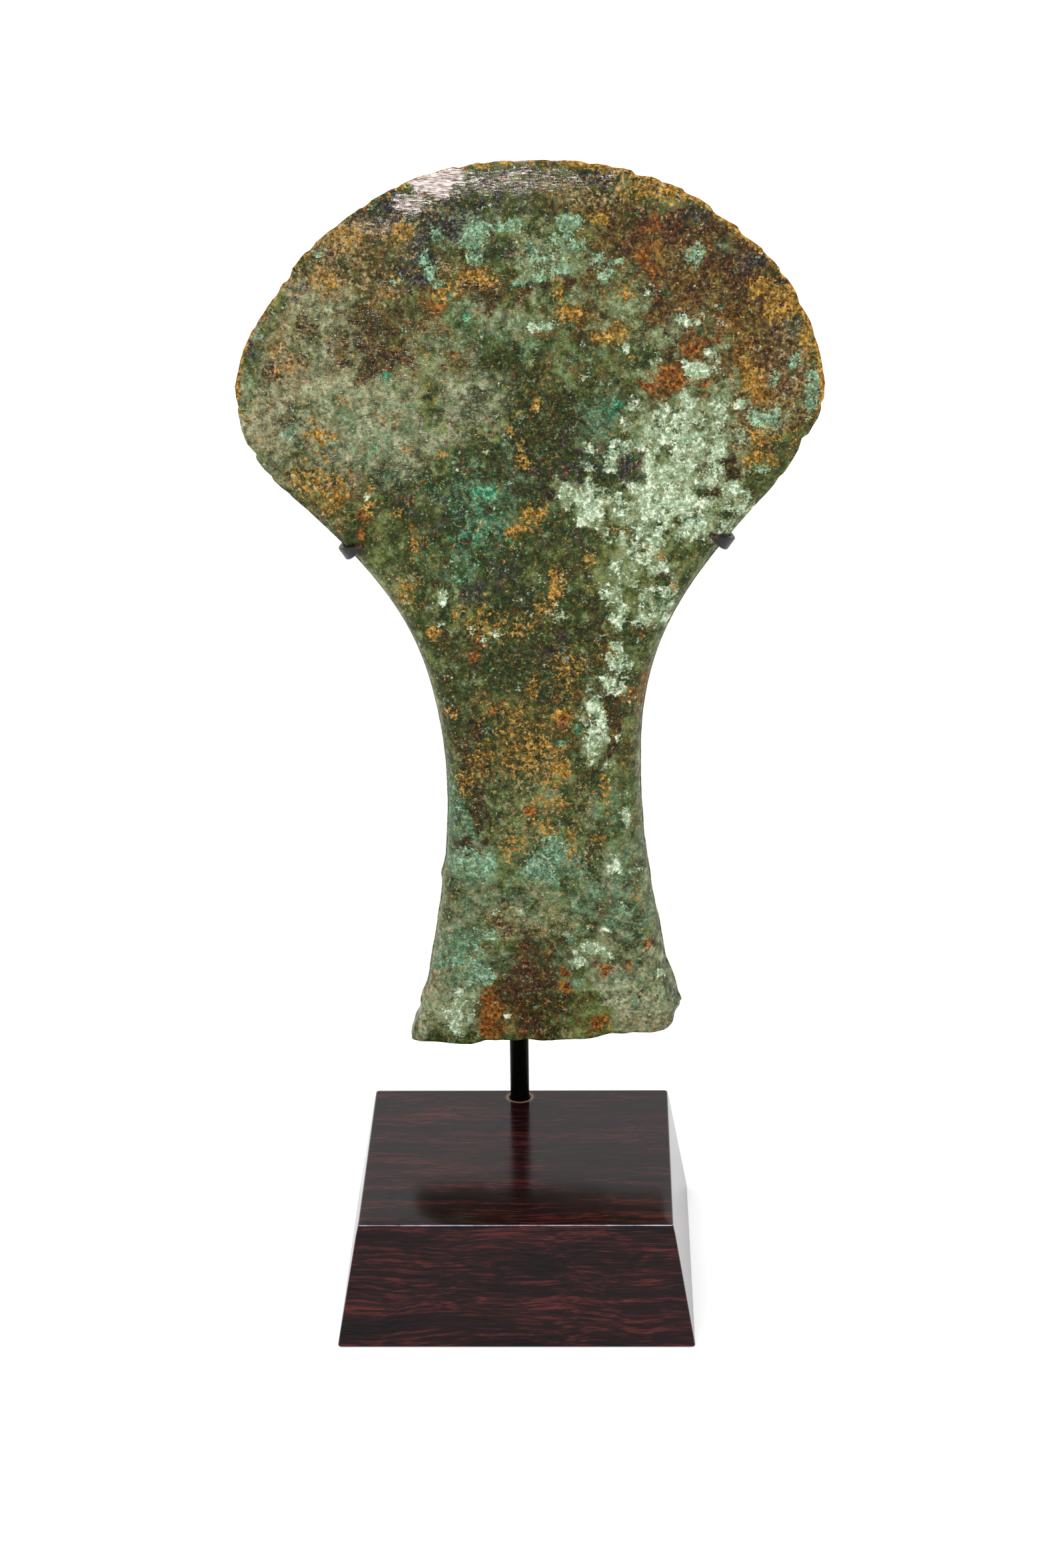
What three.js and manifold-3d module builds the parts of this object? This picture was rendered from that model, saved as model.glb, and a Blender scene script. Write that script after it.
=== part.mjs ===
// A flared bronze axe head, held upright by a rod and a strap cradle on a small lacquered plinth.
// Millimetres. +X is to the right of someone facing the front, +Y runs away to the back and +Z is up.
// The origin is the middle of the plinth's underside.

import * as THREE from 'three';
import { mergeVertices } from 'three/addons/utils/BufferGeometryUtils.js';
import Module from 'manifold-3d';

// Plinth: a wooden block with sloping sides
const plinthWidth = 50; // across its top
const plinthDepth = 50; // its top from front to back
const plinthHeight = 20;
const plinthSpread = 3.5; // how far each side runs out towards the base
const plinthArris = 0.4; // softening of its edges and corners

// Rod: upright in a blind hole near the plinth's back edge
const rodDiameter = 3.2;
const rodSetback = 2.85; // from the back edge of the plinth's top to the rod's middle
const rodOffset = -0.25; // the hole was drilled a little left of the middle
const rodSocketDepth = 12;
const rodAboveStrap = 0.8; // how far the rod stands above the strap soldered to it
const rodChamfer = 0.4;

// Strap: a flat strip across the back of the head, bent round both of its edges
const strapWidth = 2.2;
const strapThickness = 0.9;
const strapLeftHeight = 84.5; // where it meets the head's left edge, above the butt
const strapRightHeight = 85.8;
const strapLeftSlope = 33; // degrees that its left end runs down towards the edge
const strapRightSlope = 35;
const strapArch = 5; // how much higher it crosses the rod than it meets the edges
const strapTipWidth = 0.8;
const strapTipAngle = -78; // degrees round the edge where each tip ends on the front face
const solderDepth = 0.4; // least depth of solder between strap and rod
const solderHeight = 1.8;

// Head: its overall size, and how it sits over the plinth
const headHeight = 146.2; // from the lowest point of the butt to the top of the cutting edge
const bladeWidth = 92.5;
const hornHeight = 111; // the widest level, above the butt
const headLift = 15; // from the plinth's top to the butt
const headOffset = 2.85; // the blade's middle lies right of the plinth's middle

// Head: how thick it is
const shankThickness = 10;
const edgeThickness = 0.8; // of the cutting edge
const bevelThickness = 2.2; // where the sharpened band meets the blade
const bevelWidth = 5;
const bladeSwell = 0.13; // thickness gained for each millimetre further in from the bevel
const rimRound = 4; // how far in the blunt sides of the shank are rounded over

// Clearances
const touchGap = 0.3; // between pieces that touch
const rodClearance = 0.5; // between the rod and the thickest part of the shank

// The head's sides, from butt to horn. Each row is a share of the horn's height,
// then the left and right reach as shares of half the blade's width.
const sideShape = [
  [0.0, 0.44, 0.505],
  [0.035, 0.425, 0.522],
  [0.075, 0.402, 0.508],
  [0.125, 0.378, 0.475],
  [0.225, 0.338, 0.426],
  [0.33, 0.311, 0.391],
  [0.43, 0.309, 0.379],
  [0.52, 0.336, 0.387],
  [0.6, 0.386, 0.428],
  [0.67, 0.465, 0.499],
  [0.74, 0.585, 0.605],
  [0.81, 0.742, 0.74],
  [0.865, 0.883, 0.856],
  [0.915, 0.963, 0.929],
  [0.96, 0.992, 0.987],
  [1.0, 1.0, 1.0],
];

// The cutting edge, as seen from the middle of the widest level. Each row is an angle from
// straight up, positive to the right, and the reach as a share of half the blade's width.
const edgeShape = [
  [-90, 1.0],
  [-80, 0.965],
  [-70, 0.908],
  [-60, 0.88],
  [-45, 0.83],
  [-30, 0.801],
  [-15, 0.776],
  [0, 0.762],
  [15, 0.78],
  [30, 0.815],
  [40, 0.845],
  [50, 0.87],
  [60, 0.91],
  [75, 0.963],
  [90, 1.0],
];

// The broken line of the butt: how far it lies above its lowest point, in millimetres,
// at even steps from the left corner to the right one.
const buttShape = [0, 0.5, 0.1, 0.1, 0.7, 0.7, 0.6, 0.9, 1.0, 1.5, 2.1, 2.6, 5.0];
const buttFade = 0.07; // share of the horn's height over which that line fades out

// Lines across the head run straight over the shank and arch more and more up the blade.
const archFrom = 0.52; // share of the horn's height where they begin to arch
const archGrowth = 1.8; // above 1 they arch slowly at first

// Thickness up the middle: a share of the head's height, then a share of the shank's thickness.
const thicknessShape = [
  [0, 0.96],
  [0.15, 1.0],
  [0.33, 0.96],
  [0.47, 0.84],
  [0.58, 0.72],
  [0.7, 0.58],
  [1, 0.4],
];
const taperFrom = 0.52; // share of the head's height where the blade's taper begins to show
const taperTo = 0.78; // and where it rules alone

// Nicks in the cutting edge: angle from the middle of the widest level, depth and radius.
const nicks = [
  [-104, 0.5, 1.2],
  [-78, 0.35, 1.5],
  [-65.5, 0.5, 1.2],
  [-17, 0.3, 2],
  [27, 0.5, 1.6],
  [39, 0.35, 1.4],
  [47, 0.5, 2.4],
  [54.5, 0.55, 2.6],
  [73, 0.4, 2.4],
  [86.5, 0.5, 1.2],
  [101.5, 0.5, 1.4],
];

// How finely the surfaces are divided
const headColumns = 38;
const headRowsPerStation = 3;
const outlineStepsPerStation = 6;
const armSteps = 9;
const bendSteps = 10;
const rodSides = 24;
const nickSides = 8;
const cornerSteps = 3;
const weldDistance = 1e-4; // vertices closer than this are one

const wasm = await Module();
wasm.setup();

const radians = THREE.MathUtils.degToRad;
const lerp = THREE.MathUtils.lerp;
const smooth = (value, from, to) => THREE.MathUtils.smoothstep(value, from, to);

// Closed geometry to a solid that can be joined and cut, and back.
function toSolid(geometry) {
  const bare = geometry.clone();
  bare.deleteAttribute('normal');
  bare.deleteAttribute('uv');
  const merged = mergeVertices(bare, weldDistance);
  const vertProperties = new Float32Array(merged.getAttribute('position').array);
  const triVerts = new Uint32Array(merged.getIndex().array);
  return new wasm.Manifold(new wasm.Mesh({ numProp: 3, vertProperties, triVerts }));
}

function toGeometry(solid) {
  const mesh = solid.getMesh();
  return indexedGeometry(Array.from(mesh.vertProperties), Array.from(mesh.triVerts));
}

function indexedGeometry(positions, indices) {
  const geometry = new THREE.BufferGeometry();
  geometry.setAttribute('position', new THREE.Float32BufferAttribute(positions, 3));
  geometry.setIndex(indices);
  geometry.computeVertexNormals();
  return geometry;
}

// A tube through rings of equal length, closed at both ends by a fan round the ring's middle.
// Each ring turns anticlockwise when seen from the end of the tube.
function loft(rings) {
  const count = rings[0].length;
  const positions = [];
  const indices = [];
  for (const ring of rings) {
    for (const point of ring) positions.push(point.x, point.y, point.z);
  }
  for (let r = 0; r + 1 < rings.length; r++) {
    for (let i = 0; i < count; i++) {
      const next = (i + 1) % count;
      const a = r * count + i;
      const b = r * count + next;
      indices.push(a, b, b + count, a, b + count, a + count);
    }
  }
  const closeEnd = (ring, first, outwards) => {
    const middle = ring.reduce((sum, point) => sum.add(point), new THREE.Vector3());
    middle.divideScalar(count);
    const hub = positions.length / 3;
    positions.push(middle.x, middle.y, middle.z);
    for (let i = 0; i < count; i++) {
      const a = first + i;
      const b = first + ((i + 1) % count);
      if (outwards) indices.push(hub, a, b);
      else indices.push(hub, b, a);
    }
  };
  closeEnd(rings[0], 0, false);
  closeEnd(rings[rings.length - 1], (rings.length - 1) * count, true);
  return indexedGeometry(positions, indices);
}

// A level rectangle with rounded corners, anticlockwise from above.
function roundedRectangle(width, depth, radius, z) {
  const ring = [];
  for (let corner = 0; corner < 4; corner++) {
    const sideX = corner === 0 || corner === 3 ? 1 : -1;
    const sideY = corner < 2 ? 1 : -1;
    for (let step = 0; step <= cornerSteps; step++) {
      const angle = (corner + step / cornerSteps) * (Math.PI / 2);
      const x = sideX * (width / 2 - radius) + radius * Math.cos(angle);
      const y = sideY * (depth / 2 - radius) + radius * Math.sin(angle);
      ring.push(new THREE.Vector3(x, y, z));
    }
  }
  return ring;
}

// A smooth curve through rows of two or three numbers, sampled at a share of its length in rows.
function curveThrough(rows) {
  const points = rows.map(([x, y, z = 0]) => new THREE.Vector3(x, y, z));
  return new THREE.CatmullRomCurve3(points, false, 'catmullrom', 0.5);
}

// The second number of such rows where the first one has a given value.
function valueAt(rows, wanted) {
  const last = rows.length - 1;
  let i = 0;
  while (i < last - 1 && rows[i + 1][0] < wanted) i++;
  const share = (wanted - rows[i][0]) / (rows[i + 1][0] - rows[i][0]);
  return lerp(rows[i][1], rows[i + 1][1], THREE.MathUtils.clamp(share, 0, 1));
}

// The head in its own plane
const halfBlade = bladeWidth / 2;
const crownHeight = headHeight - hornHeight;
const buttLevel = plinthHeight + headLift;
const hornLevel = buttLevel + hornHeight;
const sideCurve = curveThrough(sideShape);
const edgeCurve = curveThrough(edgeShape);
const buttCurve = curveThrough(buttShape.map((rise, i) => [i, rise]));
const crownReach = valueAt(edgeShape, 0);

// The point of column 0 to 1, from left to right, and row 0 to 1, from the butt to the cutting edge.
function headPoint(column, row) {
  const side = sideCurve.getPoint(row);
  const edge = edgeCurve.getPoint(column);
  const across = edge.y * Math.sin(radians(edge.x));
  const arch = (edge.y * Math.cos(radians(edge.x))) / crownReach;
  const bulge = Math.pow(Math.max(0, (side.x - archFrom) / (1 - archFrom)), archGrowth);
  const rise = buttCurve.getPoint((across + 1) / 2).y * Math.max(0, 1 - side.x / buttFade);
  const x = headOffset + halfBlade * lerp(-side.y, side.z, (across + 1) / 2);
  const z = buttLevel + hornHeight * side.x + crownHeight * bulge * arch + rise;
  return new THREE.Vector2(x, z);
}

// The outline without the butt: up the left side, over the cutting edge and down the right side.
function headOutline() {
  const steps = (sideShape.length - 1) * outlineStepsPerStation;
  const outline = [];
  for (let i = 0; i < steps; i++) outline.push(headPoint(0, i / steps));
  for (let i = 0; i <= steps; i++) outline.push(headPoint(i / steps, 1));
  for (let i = steps - 1; i >= 0; i--) outline.push(headPoint(1, i / steps));
  return outline;
}
const outline = headOutline();

function distanceToOutline(point) {
  let least = Infinity;
  for (let i = 0; i + 1 < outline.length; i++) {
    const along = outline[i + 1].clone().sub(outline[i]);
    const offset = point.clone().sub(outline[i]);
    const share = THREE.MathUtils.clamp(offset.dot(along) / along.lengthSq(), 0, 1);
    least = Math.min(least, offset.addScaledVector(along, -share).length());
  }
  return least;
}

// Half the head's thickness at a point: a bar with rounded sides in the shank, and in the blade a
// swell that grows inwards from the sharpened band.
function halfThickness(point) {
  const inward = distanceToOutline(point);
  const up = (point.y - buttLevel) / headHeight;
  const round = Math.sqrt(1 - Math.pow(1 - Math.min(inward, rimRound) / rimRound, 2));
  const bar = shankThickness * valueAt(thicknessShape, up) * round;
  const bevel = lerp(edgeThickness, bevelThickness, Math.min(1, inward / bevelWidth));
  const blade = bevel + bladeSwell * Math.max(0, inward - bevelWidth);
  const thickness = lerp(bar, blade, smooth(up, taperFrom, taperTo));
  return Math.max(thickness, edgeThickness) / 2;
}

// Where the outline stands at an angle from the middle of the widest level.
function outlineAtAngle(degrees) {
  const middle = new THREE.Vector2(headOffset, hornLevel);
  const bearing = (point) => Math.atan2(point.x - middle.x, point.y - middle.y);
  const wanted = radians(degrees);
  let best = outline[0];
  for (let i = 0; i + 1 < outline.length; i++) {
    const from = bearing(outline[i]);
    const to = bearing(outline[i + 1]);
    if (from <= wanted && wanted < to) {
      best = outline[i].clone().lerp(outline[i + 1], (wanted - from) / (to - from));
    }
  }
  return { point: best, outwards: best.clone().sub(middle).normalize() };
}

// Where the outline stands at a height, on the left (side -1) or right (side 1).
function outlineAtHeight(height, side) {
  const steps = (sideShape.length - 1) * outlineStepsPerStation;
  const column = side < 0 ? 0 : 1;
  for (let i = 0; i < steps; i++) {
    const from = headPoint(column, i / steps);
    const to = headPoint(column, (i + 1) / steps);
    if (from.y <= height && height <= to.y) {
      return from.clone().lerp(to, (height - from.y) / (to.y - from.y));
    }
  }
  return headPoint(column, 1);
}

// Where the pieces stand from front to back
const rodX = rodOffset;
const rodY = plinthDepth / 2 - rodSetback;
const rodFront = rodY - rodDiameter / 2;
const strapLevel = buttLevel + (strapLeftHeight + strapRightHeight) / 2 + strapArch;
const strapBehind = halfThickness(new THREE.Vector2(rodX, strapLevel)) + touchGap + strapThickness;
const shankStandOff = shankThickness / 2 + rodClearance;
const strapStandOff = strapBehind + solderDepth + touchGap;
const headY = rodFront - Math.max(shankStandOff, strapStandOff);

function buildHead() {
  const rows = (sideShape.length - 1) * headRowsPerStation;
  const positions = [];
  for (const face of [-1, 1]) {
    for (let r = 0; r <= rows; r++) {
      for (let c = 0; c <= headColumns; c++) {
        const point = headPoint(c / headColumns, r / rows);
        positions.push(point.x, headY + face * halfThickness(point), point.y);
      }
    }
  }
  const wide = headColumns + 1;
  const backStart = wide * (rows + 1);
  const indices = [];
  for (let r = 0; r < rows; r++) {
    for (let c = 0; c < headColumns; c++) {
      const a = r * wide + c;
      const b = a + 1;
      const d = a + wide;
      const e = d + 1;
      indices.push(a, b, e, a, e, d);
      indices.push(backStart + a, backStart + e, backStart + b);
      indices.push(backStart + a, backStart + d, backStart + e);
    }
  }
  const rim = [];
  for (let c = 0; c < headColumns; c++) rim.push(c);
  for (let r = 0; r < rows; r++) rim.push(r * wide + headColumns);
  for (let c = headColumns; c > 0; c--) rim.push(rows * wide + c);
  for (let r = rows; r > 0; r--) rim.push(r * wide);
  rim.forEach((a, i) => {
    const b = rim[(i + 1) % rim.length];
    indices.push(a, backStart + a, backStart + b, a, backStart + b, b);
  });
  let head = toSolid(indexedGeometry(positions, indices));
  for (const [angle, depth, radius] of nicks) {
    const { point, outwards } = outlineAtAngle(angle);
    const cutter = new THREE.CylinderGeometry(radius, radius, shankThickness, nickSides);
    const centre = point.clone().addScaledVector(outwards, radius - depth);
    cutter.translate(centre.x, headY, centre.y);
    head = head.subtract(toSolid(cutter));
  }
  return toGeometry(head);
}

// One arm of the strap, from the rod outwards and round the edge to its tip on the front face.
// Each station has its place, the direction of the strip's width and its width there.
function strapArm(side, height, slope) {
  const outwards = new THREE.Vector2(side * Math.cos(radians(slope)), -Math.sin(radians(slope)));
  const acrossWidth = new THREE.Vector3(side * Math.sin(radians(slope)), 0, Math.cos(radians(slope)));
  const edge = outlineAtHeight(buttLevel + height, side);
  const bendStart = edge.clone().addScaledVector(outwards, -rimRound);
  const reach = (strapLevel - bendStart.y) / Math.sin(radians(slope));
  const start = new THREE.Vector2(rodX, strapLevel);
  const turn = bendStart.clone().addScaledVector(outwards, -reach);
  const back = new THREE.QuadraticBezierCurve(start, turn, bendStart);
  const standOff = touchGap + strapThickness / 2;
  const stations = [];
  for (let i = 0; i < armSteps; i++) {
    const point = back.getPoint(i / armSteps);
    const tangent = back.getTangent(i / armSteps);
    stations.push({
      place: new THREE.Vector3(point.x, headY + halfThickness(point) + standOff, point.y),
      acrossWidth: new THREE.Vector3(-side * tangent.y, 0, side * tangent.x),
      width: strapWidth,
    });
  }
  const bendHalf = halfThickness(bendStart) + standOff;
  const bendReach = rimRound + standOff;
  for (let i = 0; i <= bendSteps; i++) {
    const angle = radians(lerp(90, strapTipAngle, i / bendSteps));
    const point = bendStart.clone().addScaledVector(outwards, bendReach * Math.cos(angle));
    const toTip = smooth(-angle, radians(20), radians(-strapTipAngle));
    stations.push({
      place: new THREE.Vector3(point.x, headY + bendHalf * Math.sin(angle), point.y),
      acrossWidth,
      width: lerp(strapWidth, strapTipWidth, toTip * toTip),
    });
  }
  return stations;
}

function buildStrap() {
  const left = strapArm(-1, strapLeftHeight, strapLeftSlope);
  const right = strapArm(1, strapRightHeight, strapRightSlope);
  const stations = [...left.slice(1).reverse(), ...right];
  const rings = stations.map(({ place, acrossWidth, width }, i) => {
    const before = stations[Math.max(0, i - 1)].place;
    const after = stations[Math.min(stations.length - 1, i + 1)].place;
    const along = after.clone().sub(before).normalize();
    const thickWay = new THREE.Vector3().crossVectors(acrossWidth, along).normalize();
    const corner = (w, t) =>
      place
        .clone()
        .addScaledVector(acrossWidth, (w * width) / 2)
        .addScaledVector(thickWay, (t * strapThickness) / 2);
    return [corner(-1, -1), corner(-1, 1), corner(1, 1), corner(1, -1)];
  });
  const backFace = headY + strapBehind;
  const solderEnd = rodFront - touchGap;
  const solderStart = backFace - strapThickness / 2;
  const solder = new THREE.BoxGeometry(rodDiameter, solderEnd - solderStart, solderHeight);
  solder.translate(rodX, (solderStart + solderEnd) / 2, strapLevel);
  return toGeometry(toSolid(loft(rings)).add(toSolid(solder)));
}

function buildRod() {
  const foot = plinthHeight - rodSocketDepth + touchGap;
  const top = strapLevel + strapWidth / 2 + rodAboveStrap;
  const radius = rodDiameter / 2;
  const profile = [
    new THREE.Vector2(0, foot),
    new THREE.Vector2(radius - rodChamfer, foot),
    new THREE.Vector2(radius, foot + rodChamfer),
    new THREE.Vector2(radius, top - rodChamfer),
    new THREE.Vector2(radius - rodChamfer, top),
    new THREE.Vector2(0, top),
  ];
  const geometry = new THREE.LatheGeometry(profile, rodSides);
  geometry.rotateX(Math.PI / 2);
  geometry.translate(rodX, rodY, 0);
  return geometry;
}

function buildPlinth() {
  const slope = plinthSpread / plinthHeight;
  const levels = [
    [0, plinthArris],
    [plinthArris, 0],
    [plinthHeight - plinthArris, 0],
    [plinthHeight, plinthArris],
  ];
  const rings = levels.map(([z, inset]) => {
    const reach = plinthSpread - slope * z - inset;
    return roundedRectangle(plinthWidth + 2 * reach, plinthDepth + 2 * reach, plinthArris, z);
  });
  const holeRadius = rodDiameter / 2 + touchGap;
  const holeTop = plinthHeight + plinthArris;
  const hole = new THREE.CylinderGeometry(
    holeRadius,
    holeRadius,
    rodSocketDepth + plinthArris,
    rodSides,
  );
  hole.rotateX(Math.PI / 2);
  hole.translate(rodX, rodY, holeTop - (rodSocketDepth + plinthArris) / 2);
  return toGeometry(toSolid(loft(rings)).subtract(toSolid(hole)));
}

const patinatedBronze = new THREE.MeshStandardMaterial({
  color: 0x5d6750,
  roughness: 0.62,
  metalness: 0.35,
});
const lacqueredRosewood = new THREE.MeshStandardMaterial({
  color: 0x4a2022,
  roughness: 0.22,
  metalness: 0,
});
const blackPaintedSteel = new THREE.MeshStandardMaterial({
  color: 0x171612,
  roughness: 0.45,
  metalness: 0.1,
});

function piece(name, geometry, material) {
  const mesh = new THREE.Mesh(geometry, material);
  mesh.name = name;
  return mesh;
}

const object = new THREE.Group();
object.name = 'bronze_axe_head_on_stand';
object.add(piece('axe_head', buildHead(), patinatedBronze));
object.add(piece('cradle_strap', buildStrap(), blackPaintedSteel));
object.add(piece('mount_rod', buildRod(), blackPaintedSteel));
object.add(piece('plinth', buildPlinth(), lacqueredRosewood));

export default object;
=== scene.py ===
"""A flared bronze axe head in a black strap cradle on a lacquered rosewood plinth.

Every length below is in millimetres unless its property says otherwise. +X is to the right of someone
facing the front, +Y runs away to the back and +Z is up.
"""

import math

import bpy
import numpy as np
from bpy.props import FloatProperty, FloatVectorProperty, PointerProperty
from mathutils import Matrix, Vector


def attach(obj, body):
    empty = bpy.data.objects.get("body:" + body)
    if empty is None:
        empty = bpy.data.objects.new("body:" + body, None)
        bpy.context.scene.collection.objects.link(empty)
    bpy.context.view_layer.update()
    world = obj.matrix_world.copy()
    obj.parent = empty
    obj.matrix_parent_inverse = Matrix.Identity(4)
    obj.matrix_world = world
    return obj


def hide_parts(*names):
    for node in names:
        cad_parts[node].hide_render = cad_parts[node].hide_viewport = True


bl_info = {
    "name": "Bronze axe head on a stand",
    "version": (1, 0, 0),
    "blender": (4, 5, 0),
    "location": "3D View > Sidebar > Axe head",
    "description": "Makes the patinated axe head, its cradle, rod and plinth round the loaded frame",
    "category": "Add Mesh",
}

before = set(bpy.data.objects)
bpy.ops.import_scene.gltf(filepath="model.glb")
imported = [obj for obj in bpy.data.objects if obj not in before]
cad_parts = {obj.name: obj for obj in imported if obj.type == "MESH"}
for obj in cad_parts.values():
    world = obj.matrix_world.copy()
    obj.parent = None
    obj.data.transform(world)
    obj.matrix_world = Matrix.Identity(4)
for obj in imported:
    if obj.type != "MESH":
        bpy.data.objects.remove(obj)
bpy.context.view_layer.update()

MM = 0.001
SEED = 1130

# The head's sides, from butt to horn: share of the horn's height, then the left and right reach as
# shares of half the blade's width.
SIDE_SHAPE = [
    (0, 0.44, 0.505), (0.035, 0.425, 0.522), (0.075, 0.402, 0.508), (0.125, 0.378, 0.475),
    (0.225, 0.338, 0.426), (0.33, 0.311, 0.391), (0.43, 0.309, 0.379), (0.52, 0.336, 0.387),
    (0.6, 0.386, 0.428), (0.67, 0.465, 0.499), (0.74, 0.585, 0.605), (0.81, 0.742, 0.74),
    (0.865, 0.883, 0.856), (0.915, 0.963, 0.929), (0.96, 0.992, 0.987), (1, 1, 1),
]

# The cutting edge from the middle of the widest level: degrees from straight up, positive to the
# right, then the reach as a share of half the blade's width.
EDGE_SHAPE = [
    (-90, 1), (-80, 0.965), (-70, 0.908), (-60, 0.88), (-45, 0.83), (-30, 0.801), (-15, 0.776),
    (0, 0.762), (15, 0.78), (30, 0.815), (40, 0.845), (50, 0.87), (60, 0.91), (75, 0.963), (90, 1),
]

# The broken line of the butt: height above its lowest point at even steps from left to right.
BUTT_SHAPE = [0, 0.5, 0.1, 0.1, 0.7, 0.7, 0.6, 0.9, 1.0, 1.5, 2.1, 2.6, 5.0]
BUTT_FADE = 0.07
ARCH_FROM = 0.52
ARCH_GROWTH = 1.8

# Thickness up the middle: share of the head's height, then share of the shank's thickness.
THICKNESS_SHAPE = [(0, 0.96), (0.15, 1), (0.33, 0.96), (0.47, 0.84), (0.58, 0.72), (0.7, 0.58), (1, 0.4)]
TAPER_FROM = 0.52
TAPER_TO = 0.78

# Bites out of the cutting edge: degrees from straight up, depth, half length. Each one is steep on
# its left and drawn out on its right, as a knocked edge is.
BITES = [
    (-114.5, 0.25, 1), (-109.5, 0.25, 1), (-104, 0.5, 1.3), (-94, 0.25, 1.2), (-86, 0.2, 1),
    (-80.5, 0.2, 0.9), (-78, 0.35, 1.5), (-74.5, 0.2, 0.9), (-69.5, 0.25, 0.9), (-65.5, 0.5, 1.3),
    (-57.5, 0.25, 1.2), (-50, 0.15, 1.6), (-42, 0.2, 1.4), (-33, 0.15, 1.8), (-24.5, 0.25, 1.2),
    (-17, 0.3, 2), (-11, 0.2, 1.2), (-3, 0.15, 1.6), (6, 0.15, 1.4), (15, 0.25, 1.2), (21, 0.2, 1.2),
    (27, 0.5, 1.7), (33, 0.25, 1.2), (39, 0.35, 1.5), (47, 0.5, 2.4), (54.5, 0.55, 2.6),
    (60.5, 0.25, 1.4), (65.5, 0.3, 1.2), (73, 0.4, 2.4), (80.5, 0.25, 1.2), (86.5, 0.5, 1.3),
    (94, 0.25, 1.4), (101.5, 0.5, 1.5), (111, 0.25, 1.4),
]

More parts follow.
